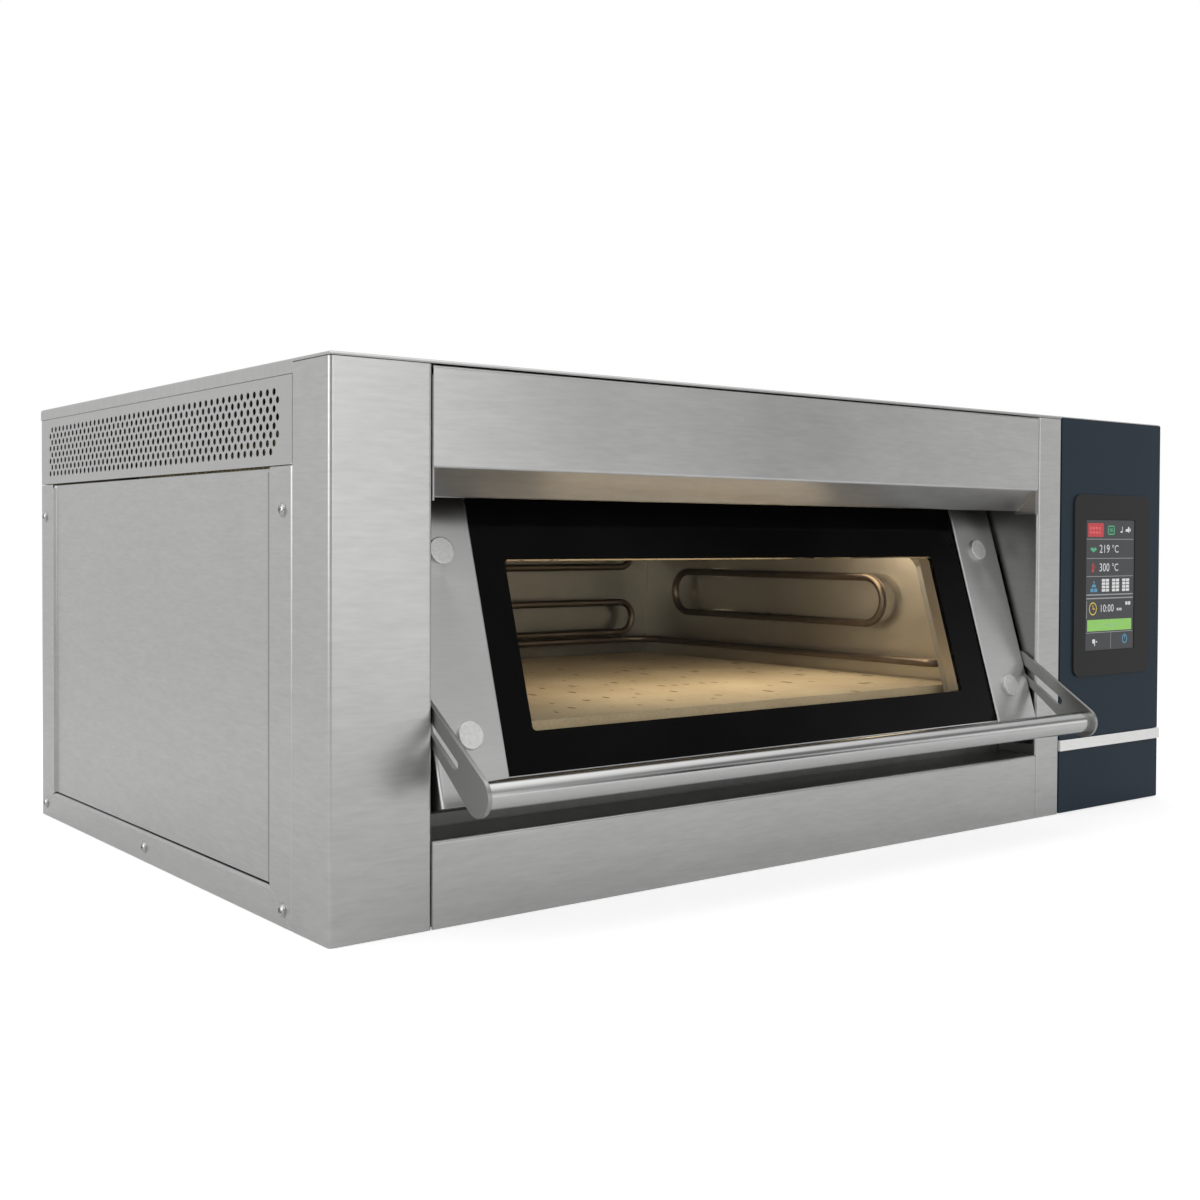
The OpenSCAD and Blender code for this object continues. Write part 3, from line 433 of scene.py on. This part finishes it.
def sheetMesh(name, near, far):
    # flat sheet between two opposite corners, in millimetres
    low, high = corner(*near), corner(*far)
    outline = [(low.x, low.z), (high.x, low.z), (high.x, high.z), (low.x, high.z)]
    return plateMesh(name, outline, low.y, high.y)


# the door's own frame: x from its left edge, y into the oven, z up the slope
door = {"slant": 17, "foot": (92.5, -9.1, 94.6), "width": 0.757}    # degrees, millimetres, metres
onDoor = Matrix.Translation(corner(*door["foot"])) @ Matrix.Rotation(math.radians(-door["slant"]), 4, "X")

# door glass

pane = {
    "front": 0.0030, "back": 0.0080,      # depth of the two faces
    "low": 0.0191, "high": 0.2600,        # along the slope
    "side": 0.0537,                       # under the steel strips
    "outerRadius": 0.0015,
    "window": (0.0975, 0.054, 0.6465, 0.200),
    "cornerRadius": 0.004,
    "windowGap": 0.00003,
    "channel": {"low": 0.0019, "high": 0.0001, "proud": 0.0004, "radius": 0.0004},    # below the pane
}


def makeDoorGlass():
    x0, z0, x1, z1 = pane["window"]
    left, right, low = pane["side"], door["width"] - pane["side"], pane["low"]
    front, back, gap, radius = (pane[key] for key in ("front", "back", "windowGap", "cornerRadius"))
    outer = roundedOutline(left, low, right, pane["high"], pane["outerRadius"])
    border = borderMesh("glass_border", outer, roundedOutline(x0, z0, x1, z1, radius), front, back)
    inside = roundedOutline(x0 + gap, z0 + gap, x1 - gap, z1 - gap, radius)
    clear = plateMesh("glass_window", inside, front, back)
    foot = pane["channel"]
    strip = roundedOutline(left, low - foot["low"], right, low - foot["high"], foot["radius"])
    channel = plateMesh("glass_foot_channel", strip, front - foot["proud"], back)
    for mesh in (border, clear, channel):
        mesh.transform(onDoor)
    borderPiece = addPiece("glass_border", border, "print", "door", False)
    clearPiece = addPiece("glass_window", clear, "clear", "door", False)
    addPiece("glass_foot_channel", channel, "satin", "door", False)
    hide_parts("outer_glass")
    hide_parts("outer_glass")
    print("door glass made")


makeDoorGlass()

# seams of the side panels, in millimetres from the front left foot: the field strips are darker sheets,
# painted shade beside each set-in field, and the joint strips fill the gap behind each post in place of its
# shade

seam = {
    "field": {"inset": 2.45, "thick": 0.25, "y": (103.6, 108.0), "z": (29.6, 354.0), "look": "seam"},
    "joint": {"inset": 1.2, "thick": 0.6, "y": (60.06, 60.54), "z": (1.0, 357.0), "look": "casing"},
    "vent": {"inset": 0.3, "thick": 0.35, "y": (60.5, 63.8), "z": (359.3, 427.6), "look": "vent"},
}


def makeSeams():
    wide = cabinet["width"]
    for name, line in seam.items():
        (y0, y1), (z0, z1) = line["y"], line["z"]
        near, deep = line["inset"] - line["thick"], line["inset"]
        for side, x0, x1 in (("left", near, deep), ("right", wide - deep, wide - near)):
            strip = sheetMesh("%s_%s_seam" % (side, name), (x0, y0, z0), (x1, y1, z1))
            addCasingSheet(strip, line["look"])
    print("side seams made")


makeSeams()

# darker strips in the gaps between the posts and the panels: painted shade in place of the gaps' own shadow

gaps = {
    "header": (331.8, 428.0), "plinth": (0.6, 68.6),    # from one height to the other
    "left": (88.0, 88.8), "right": (853.2, 854.0), "depth": (0.3, 0.7),
}


def makeGapShades():
    y0, y1 = gaps["depth"]
    for side in ("left", "right"):
        x0, x1 = gaps[side]
        for panel in ("header", "plinth"):
            z0, z1 = gaps[panel]
            addCasingSheet(sheetMesh("%s_%s_gap" % (side, panel), (x0, y0, z0), (x1, y1, z1)), "seam")
    print("panel gaps shaded")


makeGapShades()

# thin darker sheets on the jambs beside the sloping door: painted shade where the door and the posts shadow
# the jambs

jamb = {
    "behind": 1.5,    # how far behind the door's face the sheet's slanted edge runs
    "front": 3.3, "lip": 5.8, "low": 82, "high": 350,
    "left": (88.0, 88.15), "right": (853.85, 854.0),
}


def alongJamb(offset, y=None, z=None):
    # point on a line beside the door's slope, from its depth or from its height
    lean = math.radians(door["slant"])
    rise, run = math.cos(lean), math.sin(lean)
    y0, z0 = door["foot"][1:]
    if z is None:
        up = (y - y0 - offset * rise) / run
    else:
        up = (z - z0 + offset * run) / rise
    return (y0 + up * run + offset * rise, z0 + up * rise - offset * run)


def makeJambSheets():
    front, lip, low, high, behind = (jamb[key] for key in ("front", "lip", "low", "high", "behind"))
    outline = [(front, low), (lip, low), alongJamb(behind, y=lip), alongJamb(behind, z=high), (front, high)]
    for side in ("left", "right"):
        near, far = ([corner(x, y, z) for y, z in outline] for x in jamb[side])
        addCasingSheet(closedSolid(side + "_jamb_sheet", near, far), "jamb")
    print("jamb sheets made")


makeJambSheets()

joggle = {"rear": 629.0, "depth": 2.5, "proud": 0.035, "thick": 0.1, "low": 29.6, "high": 354.5}


def makeJoggleCovers():
    # darker face on the rear slope of each side panel's set-in field: painted shade over the slope's
    # highlight
    edge, depth, proud, thick = (joggle[key] for key in ("rear", "depth", "proud", "thick"))
    outline = [(-proud, edge - proud), (depth - proud, edge - depth - proud),
               (depth + thick, edge - depth + thick), (thick, edge + thick)]
    for side, start, turn in (("left", 0, 1), ("right", cabinet["width"], -1)):
        near, far = ([corner(start + turn * x, y, z) for x, y in outline]
                     for z in (joggle["low"], joggle["high"]))
        addCasingSheet(closedSolid(side + "_joggle_face", near, far), "seam")
    print("joggle faces made")


makeJoggleCovers()

# round pieces

def turnedMesh(name, profile, segments, places=(Matrix(),)):
    # profile of (radius, height) turned about +Z, once for every place
    bm = bmesh.new()
    for place in places:
        rings = []
        for radius, height in profile:
            if radius == 0:
                rings.append([bm.verts.new(place @ Vector((0, 0, height)))])
                continue
            turns = [2 * math.pi * k / segments for k in range(segments)]
            rings.append([bm.verts.new(place @ Vector((radius * math.cos(a), radius * math.sin(a), height)))
                          for a in turns])
        for low, high in zip(rings, rings[1:]):
            for k in range(segments):
                n = (k + 1) % segments
                corners = [low[k % len(low)], low[n % len(low)], high[n % len(high)], high[k % len(high)]]
                bm.faces.new(list(dict.fromkeys(corners)))
    return meshFrom(bm, name)


def smoothByAngle(mesh, degrees=35):
    mesh.shade_smooth()
    mesh.set_sharp_from_angle(angle=math.radians(degrees))


cover = {
    "radius": 0.0115, "proud": 0.0035, "round": 0.0007,
    "crown": 0.9, "dip": 0.00005,    # the top falls by the dip at this share of the radius
    "across": (0.034, 0.722), "up": (0.0545, 0.2065),
}


def makeDoorCovers():
    r, h, e = cover["radius"], cover["proud"], cover["round"]
    profile = [(0, 0), (r, 0), (r, h - e)]
    profile += [(r - e * (1 - math.cos(a)), h - e + e * math.sin(a)) for a in (0.4, 0.8, 1.2)]
    profile += [(r * cover["crown"], h - cover["dip"]), (0, h)]
    places = [onDoor @ Matrix.Translation((x, 0, u)) @ Matrix.Rotation(math.radians(90), 4, "X")
              for x in cover["across"] for u in cover["up"]]
    mesh = turnedMesh("door_covers", profile, 96, places)
    piece = addPiece("door_covers", mesh, "cover", "door")
    smoothByAngle(mesh)
    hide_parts("door_caps")
    print("door covers made")


tube = {"radius": 0.011, "wall": 0.0015, "lip": 0.0004, "out": 0.0607, "height": 0.1116}


def makeHandleTube():
    axis = onDoor.inverted() @ corner(door["foot"][0], -tube["out"] / mm, tube["height"] / mm)
    r, w, lip, end = tube["radius"], tube["wall"], tube["lip"], door["width"]
    profile = [(r - w, lip), (r - lip, 0), (r, lip), (r, end / 2), (r, end - lip),
               (r - lip, end), (r - w, end - lip), (r - w, end / 2), (r - w, lip)]
    place = onDoor @ Matrix.Translation(axis) @ Matrix.Rotation(math.radians(90), 4, "Y")
    mesh = turnedMesh("grip_tube", profile, 128, [place])
    piece = addPiece("grip_tube", mesh, "satin", "door")
    smoothByAngle(mesh)
    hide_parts("handle_tube")
    print("handle tube made")


screw = {
    "washer": 0.0060, "washerThick": 0.0008, "washerRound": 0.0002, "washerSide": 0.7,
    "head": 0.0048, "dome": 0.0023,
    "slot": 0.0012, "slotLong": 0.0056, "slotDeep": 0.0013, "slotTurns": (20, 110),
    "turnStep": 47,    # degrees from one screw's cross to the next one's
    "side": ((77, 324.2), (77, 13.3), (367, 13.7), (654.5, 324), (654, 14)),
    "back": ((24, 60), (24, 380), (545, 12), (545, 418), (1066, 160), (1066, 380)),
}


def crossHead():
    # a domed head with a cross cut into it, standing on +Z
    r, base, top = screw["head"], screw["washerThick"], screw["washerThick"] + screw["dome"]
    w, dome = screw["washer"], screw["dome"]
    profile = [(0, 0), (w, 0), (w, base * screw["washerSide"]), (w - screw["washerRound"], base), (r, base)]
    profile += [(r * math.cos(a), base + dome * math.sin(a)) for a in (0.25, 0.5, 0.75, 1.0, 1.25, 1.45)]
    profile += [(0, top)]
    head = bpy.data.objects.new("head", turnedMesh("head", profile, 40))
    cutters = []
    for turn in screw["slotTurns"]:
        bm = bmesh.new()
        bmesh.ops.create_cube(bm, size=1.0)
        shape = (Matrix.Translation((0, 0, top)) @ Matrix.Rotation(math.radians(turn), 4, "Z")
                 @ Matrix.Diagonal((screw["slotLong"], screw["slot"], 2 * screw["slotDeep"], 1)))
        bmesh.ops.transform(bm, matrix=shape, verts=bm.verts[:])
        cutters.append(bpy.data.objects.new("cut", meshFrom(bm, "cut", False)))
    for item in (head, *cutters):
        putInScene(item)
    for cutter in cutters:
        cut = head.modifiers.new("cut", "BOOLEAN")
        cut.operation = "DIFFERENCE"
        cut.object = cutter
        cut.solver = "EXACT"
    evaluated = head.evaluated_get(bpy.context.evaluated_depsgraph_get())
    result = bpy.data.meshes.new_from_object(evaluated)
    for item in (head, *cutters):
        bpy.data.objects.remove(item)
    return result


def makeScrews():
    pattern = crossHead()
    wide, deep = cabinet["width"], cabinet["depth"]
    seats = [(corner(0, y, z), -90, "Y") for y, z in screw["side"]]
    seats += [(corner(wide, y, z), 90, "Y") for y, z in screw["side"]]
    seats += [(corner(x, deep, z), -90, "X") for x, z in screw["back"]]
    bm = bmesh.new()
    for k, (place, turn, axis) in enumerate(seats):
        copy = pattern.copy()
        copy.transform(Matrix.Translation(place) @ Matrix.Rotation(math.radians(turn), 4, axis)
                       @ Matrix.Rotation(math.radians(screw["turnStep"] * k), 4, "Z"))
        bm.from_mesh(copy)
    mesh = meshFrom(bm, "panel_screws", False)
    mesh.materials.clear()
    piece = addPiece("panel_screws", mesh, "plated", "case")
    smoothByAngle(mesh)
    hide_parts("case_screws")
    print("screws made")


makeDoorCovers()
makeHandleTube()
makeScrews()

# what the display shows, drawn in millimetres from its lower left corner

display = {
    "corner": corner(940.95, -1.2, 178.6), "proud": 0.00006,
    "line": 0.7, "band": 1.44,
    "numeralShare": 0.70, "spacing": 1.05,    # a numeral's height in its type size, and the letter gap
}


def fromOutline(bm, outline):
    bm.faces.new([bm.verts.new((x * mm, -display["proud"], z * mm)) for x, z in outline])


def bar(x0, z0, x1, z1, radius=0.0):
    if radius:
        return roundedOutline(x0, z0, x1, z1, radius, 4)
    return [(x1, z1), (x0, z1), (x0, z0), (x1, z0)]


def ring(cx, cz, radius, width, steps=32):
    pieces = []
    for k in range(steps):
        a, b = (2 * math.pi * t / steps for t in (k, k + 1))
        near, far = radius - width, radius
        pieces.append([(cx + r * math.cos(t), cz + r * math.sin(t))
                       for r, t in ((near, a), (far, a), (far, b), (near, b))])
    return pieces


def disc(cx, cz, radius, steps=24):
    turns = [2 * math.pi * k / steps for k in range(steps)]
    return [(cx + radius * math.cos(t), cz + radius * math.sin(t)) for t in turns]


def letters(text, x, z, high):
    # numbers as flat faces, so many millimetres high
    curve = bpy.data.curves.new("letters", "FONT")
    curve.body = text
    curve.size = high * mm / display["numeralShare"]
    curve.space_character = display["spacing"]
    item = bpy.data.objects.new("letters", curve)
    putInScene(item)
    mesh = bpy.data.meshes.new_from_object(item.evaluated_get(bpy.context.evaluated_depsgraph_get()))
    bpy.data.objects.remove(item)
    mesh.transform(Matrix.Translation((x * mm, -display["proud"], z * mm))
                   @ Matrix.Rotation(math.radians(90), 4, "X"))
    return mesh


def drawOnDisplay(name, look, outlines=(), words=()):
    bm = bmesh.new()
    for outline in outlines:
        fromOutline(bm, outline)
    for text, x, z, high in words:
        bm.from_mesh(letters(text, x, z, high))
    bmesh.ops.translate(bm, vec=display["corner"], verts=bm.verts[:])
    for face in bm.faces:
        face.normal_update()
        if face.normal.y > 0:
            face.normal_flip()
    addPiece(name, meshFrom(bm, name, False), look, "case", False)


def levelBlocks():
    blocks = []
    for x0 in (31.4, 51.4, 71.6):
        for z0 in (66.4, 70.2, 74.0, 77.8):
            blocks.append(bar(x0, z0, x0 + 6.6, z0 + 3.0))
            blocks.append(bar(x0 + 7.6, z0, x0 + 14.2, z0 + 3.0))
    return blocks


rules = [bar(1.5, z, 93.5, z + display["line"]) for z in (125.7, 103.9, 83.5, 19.8)]
rules += [bar(1.5, z, 93.5, z + display["band"]) for z in (58.2, 62.3)]
rules += [bar(49.6, 1.0, 50.3, 19.8), bar(2.0, 36.2, 3.0, 56.5)]
units = [bar(61.4 + 3.6 * k, 44.2, 63.6 + 3.6 * k, 47.2, 0.5) for k in range(3)]
units += [bar(78.6, 50.4, 83.0, 54.2, 0.5), bar(84.2, 50.4, 88.6, 54.2, 0.5)]
shortArc = ring(15.9, 69.0, 1.2, 0.5, 8)[0]

marks = {    # for each mark its ink and its shapes
    "display_rules": ("inkGrey", rules),
    "display_start_button": ("inkRed", [bar(3.8, 128.6, 34, 144.2, 1.5)]),
    "display_start_lines": ("inkPink", [bar(7 + 5.6 * k, z, 11.4 + 5.6 * k, z + 2.8, 0.8)
                                        for k in range(4) for z in (137.0, 132.2)]),
    "display_tray_mark": ("inkTeal", [
        bar(42.1, 131.1, 43.6, 141.6), bar(54.1, 131.1, 55.6, 141.6), bar(42.1, 140.2, 55.6, 141.6),
        bar(42.1, 131.1, 55.6, 132.5), bar(45.8, 134.2, 47.3, 138.6), bar(48.6, 134.2, 50.1, 138.6),
        bar(51.2, 134.2, 52.4, 138.6)]),
    "display_top_marks": ("inkWhite", [
        bar(70.4, 133.8, 71.4, 140.6), bar(67.2, 133.6, 71.4, 135.4, 0.8),
        [(77.6, 135.0), (82.2, 134.6), (82.2, 138.2), (77.6, 137.4)],
        bar(82.2, 133.8, 85.4, 140.4, 1.4), bar(86.4, 135.2, 88.0, 138.4, 0.7)]),
    "display_heat_mark": ("inkTeal", [
        [(8.2, 114.6), (10.8, 116.8), (14.6, 115.6), (18.4, 116.8), (21.2, 114.4), (14.6, 111.0)]]),
    "display_glass_mark": ("inkRed", [
        disc(13.6, 90.8, 2.4), bar(12.5, 91.5, 14.7, 99.0, 1.0), bar(16.0, 93.0, 17.8, 94.2),
        bar(16.0, 95.6, 17.8, 96.8)]),
    "display_numbers": ("inkWhite", []),
    "display_power_mark": ("inkBlue", [
        shortArc, [(15.9, 79.4), (17.6, 76.2), (14.2, 76.2)],
        [(13.3, 74.8), (18.5, 74.8), (20.4, 71.6), (11.4, 71.6)],
        bar(9.6, 66.2, 15.2, 70.2, 0.6), bar(16.6, 66.2, 22.4, 70.2, 0.6)]),
    "display_level_blocks": ("inkWhite", levelBlocks()),
    "display_clock": ("inkYellow", ring(14.5, 47.3, 7.4, 1.3)
                      + [bar(14.0, 46.8, 15.2, 51.8), bar(14.0, 46.4, 18.2, 47.6)]),
    "display_units": ("inkWhite", units),
    "display_run_bar": ("inkGreen", [bar(3.8, 21.8, 91.0, 34.8, 0.6)]),
    "display_run_marks": ("inkWhite", [bar(34 + 4.6 * k, 26.8, 37.4 + 4.6 * k, 29.8, 0.6)
                                       for k in range(6)]),
    "display_tool_mark": ("inkWhite", [
        bar(14.0, 8.0, 19.4, 12.8, 1.2), bar(17.8, 5.2, 19.4, 8.6), bar(20.8, 9.0, 23.4, 10.4)]),
    "display_turn_mark": ("inkBlue", ring(77.6, 11.4, 5.2, 1.2) + [bar(77.0, 11.0, 78.2, 17.4)]),
}
numbers = (    # text, place and height
    ("219", 26.0, 110.6, 9.2), ("\u00b0C", 50.6, 110.9, 8.4), ("300", 25.8, 89.6, 9.2),
    ("\u00b0C", 50.4, 89.9, 8.4), ("10:00", 27.6, 43.4, 8.4),
)


def makeDisplay():
    for name, (look, outlines) in marks.items():
        words = numbers if name == "display_numbers" else ()
        drawOnDisplay(name, look, outlines, words)
    print("display drawn")


makeDisplay()

# stage, light and camera

studio = {
    "floorSize": 30.0,
    "floorDrop": 0.0004,    # keeps the floor clear of the base
    "floorTone": 0.52,
    "floorNear": {"Is Camera Ray": 0.60, "Is Glossy Ray": 0.18, "Is Transmission Ray": 0.50},
    "floorFar": {"Is Camera Ray": 1.0, "Is Glossy Ray": 0.70, "Is Transmission Ray": 1.0,
                 "Is Diffuse Ray": 0.6},
    "floorPatch": (15, 0, 10, 35, 0.42),
    "fade": (0.9, 2.6),    # metres from the oven over which the floor turns plain white
    "skySeen": {"Is Camera Ray": 1.0, "Is Transmission Ray": 1.0},
}


def rayLevel(tree, levels):
    # one brightness for each kind of ray
    path = addNode(tree, "ShaderNodeLightPath")
    total = None
    for ray, level in levels.items():
        node = addNode(tree, "ShaderNodeMath", operation="MULTIPLY_ADD")
        tree.links.new(path.outputs[ray], node.inputs[0])
        node.inputs[1].default_value = level
        node.inputs[2].default_value = 0.0
        if total is not None:
            tree.links.new(total, node.inputs[2])
        total = node.outputs[0]
    return total


def heading(turn, lift):  # turn from -Y towards +X, lift above the floor, in degrees
    t = math.radians(turn)
    e = math.radians(lift)
    return Vector((math.sin(t) * math.cos(e), -math.cos(t) * math.cos(e), math.sin(e)))


def patch(tree, turn, lift, inner, outer, amount, space="Generated"):
    # soft patch round one direction, fading from inner to outer degrees
    place = addNode(tree, "ShaderNodeTexCoord")
    along = addNode(tree, "ShaderNodeVectorMath", operation="NORMALIZE")
    tree.links.new(place.outputs[space], along.inputs[0])
    dot = addNode(tree, "ShaderNodeVectorMath", operation="DOT_PRODUCT")
    tree.links.new(along.outputs[0], dot.inputs[0])
    dot.inputs[1].default_value = heading(turn, lift)
    near, far = (math.cos(math.radians(a)) for a in (inner, outer))
    return spread(tree, dot.outputs["Value"], 0.0, amount, far, near)


def floorMaterial():
    # matte round the oven, plain white further off
    mat = bpy.data.materials.new("pale floor")
    mat.use_nodes = True
    tree = mat.node_tree
    tree.nodes.clear()
    matte = addNode(tree, "ShaderNodeBsdfDiffuse")
    tone = studio["floorTone"]
    socket(matte, "Color", (tone, tone, tone, 1))
    nearGlow = addNode(tree, "ShaderNodeEmission")
    tree.links.new(rayLevel(tree, studio["floorNear"]), nearGlow.inputs["Strength"])
    near = addNode(tree, "ShaderNodeAddShader")
    tree.links.new(matte.outputs[0], near.inputs[0])
    tree.links.new(nearGlow.outputs[0], near.inputs[1])
    far = addNode(tree, "ShaderNodeEmission")
    bright = addNode(tree, "ShaderNodeMath", operation="MULTIPLY_ADD")
    path = addNode(tree, "ShaderNodeLightPath")
    tree.links.new(patch(tree, *studio["floorPatch"], "Object"), bright.inputs[0])
    tree.links.new(path.outputs["Is Glossy Ray"], bright.inputs[1])
    tree.links.new(rayLevel(tree, studio["floorFar"]), bright.inputs[2])
    tree.links.new(bright.outputs[0], far.inputs["Strength"])
    place = addNode(tree, "ShaderNodeTexCoord")
    length = addNode(tree, "ShaderNodeVectorMath", operation="LENGTH")
    tree.links.new(place.outputs["Object"], length.inputs[0])
    blend = addNode(tree, "ShaderNodeMixShader")
    tree.links.new(spread(tree, length.outputs["Value"], 0.0, 1.0, *studio["fade"]), blend.inputs[0])
    tree.links.new(near.outputs[0], blend.inputs[1])
    tree.links.new(far.outputs[0], blend.inputs[2])
    out = addNode(tree, "ShaderNodeOutputMaterial")
    tree.links.new(blend.outputs[0], out.inputs["Surface"])
    return mat


def makeStage():
    mesh = bpy.data.meshes.new("floor")
    s = studio["floorSize"]
    mesh.from_pydata([(-s, -s, 0), (s, -s, 0), (s, s, 0), (-s, s, 0)], [], [(0, 1, 2, 3)])
    floor = bpy.data.objects.new("floor", mesh)
    putInScene(floor)
    floor.location = (0, 0, -studio["floorDrop"])
    mesh.materials.append(floorMaterial())


sky = {
    "base": 0.66,    # brightness away from every patch
    "patches": (    # turn, lift, inner, outer, amount
        (18, 3, 8, 24, 1.16),
        (41, 4, 6, 13.5, -0.40),
        (40.5, 4, 5, 11, -0.42),
        (40, 20, 4, 14, -0.25),
        (56, 9, 5, 12, 0.45),
        (57, 26, 8, 12, -0.45),
        (-25, 0, 10, 24, -0.55),
        (-100, 10, 12, 32, 2.2),
        (-155, 5, 10, 60, 0.06),
        (0, 90, 25, 55, 0.90),
    ),
}


def makeSky():
    world = bpy.data.worlds.new("studio")
    bpy.context.scene.world = world
    world.use_nodes = True
    tree = world.node_tree
    background = tree.nodes["Background"]
    socket(background, "Color", (1, 1, 1, 1))
    total = None
    for place in sky["patches"]:
        node = addNode(tree, "ShaderNodeMath", operation="ADD")
        node.inputs[1].default_value = sky["base"]
        tree.links.new(patch(tree, *place), node.inputs[0])
        if total is not None:
            tree.links.new(total, node.inputs[1])
        total = node.outputs[0]
    pick = addNode(tree, "ShaderNodeMix")
    tree.links.new(rayLevel(tree, studio["skySeen"]), pick.inputs[0])
    tree.links.new(total, pick.inputs[2])
    pick.inputs[3].default_value = 1.0
    tree.links.new(pick.outputs[0], background.inputs["Strength"])


lamps = {
    "warmth": (1.0, 0.80, 0.56),
    "bulb": {"power": 0.22, "size": 0.02, "place": (205, 566, 272)},
    "sill": {"power": 0.015, "size": (0.62, 0.006), "place": (471, 38, 143), "turn": 90},
    "glow": {"power": 0.76, "size": (0.42, 0.11), "place": (565, 175, 308), "turn": 0},
    "spill": {"power": 0.016, "size": (0.37, 0.012), "place": (480, 18, 215), "turn": -176},
}


def makeArea(name, values):
    light = bpy.data.lights.new(name, "AREA")
    light.shape = "RECTANGLE"
    light.size, light.size_y = values["size"]
    light.energy = values["power"]
    light.color = lamps["warmth"]
    piece = bpy.data.objects.new(name, light)
    turn = Matrix.Rotation(math.radians(values["turn"]), 4, "X")
    piece.matrix_world = Matrix.Translation(corner(*values["place"])) @ turn
    piece.visible_camera = False
    piece.visible_transmission = False
    putInScene(piece)


def makeLamps():
    bulb = bpy.data.lights.new("chamber bulb", "POINT")
    bulb.energy = lamps["bulb"]["power"]
    bulb.color = lamps["warmth"]
    bulb.shadow_soft_size = lamps["bulb"]["size"]
    piece = bpy.data.objects.new("chamber bulb", bulb)
    piece.location = corner(*lamps["bulb"]["place"])
    piece.visible_transmission = False
    putInScene(piece)
    for name in ("glow", "sill", "spill"):
        makeArea("chamber " + name, lamps[name])


view = {
    "lens": 44.235, "sensor": 36, "rise": -0.0267,
    "place": (-1.0507, -1.3088, 0.3031), "yaw": 37.85, "pitch": 1.149, "roll": 0.247,
}


def makeCamera():
    data = bpy.data.cameras.new("camera")
    data.lens = view["lens"]
    data.sensor_width = view["sensor"]
    data.shift_y = view["rise"]
    camera = bpy.data.objects.new("camera", data)
    turn = (Matrix.Rotation(math.radians(-view["yaw"]), 4, "Z")
            @ Matrix.Rotation(math.radians(90 - view["pitch"]), 4, "X")
            @ Matrix.Rotation(math.radians(view["roll"]), 4, "Z"))
    camera.matrix_world = Matrix.Translation(view["place"]) @ turn
    putInScene(camera)
    bpy.context.scene.camera = camera


makeStage()
makeSky()
makeLamps()
makeCamera()
bpy.context.scene.view_settings.view_transform = "Standard"
print("stage, light and camera set")
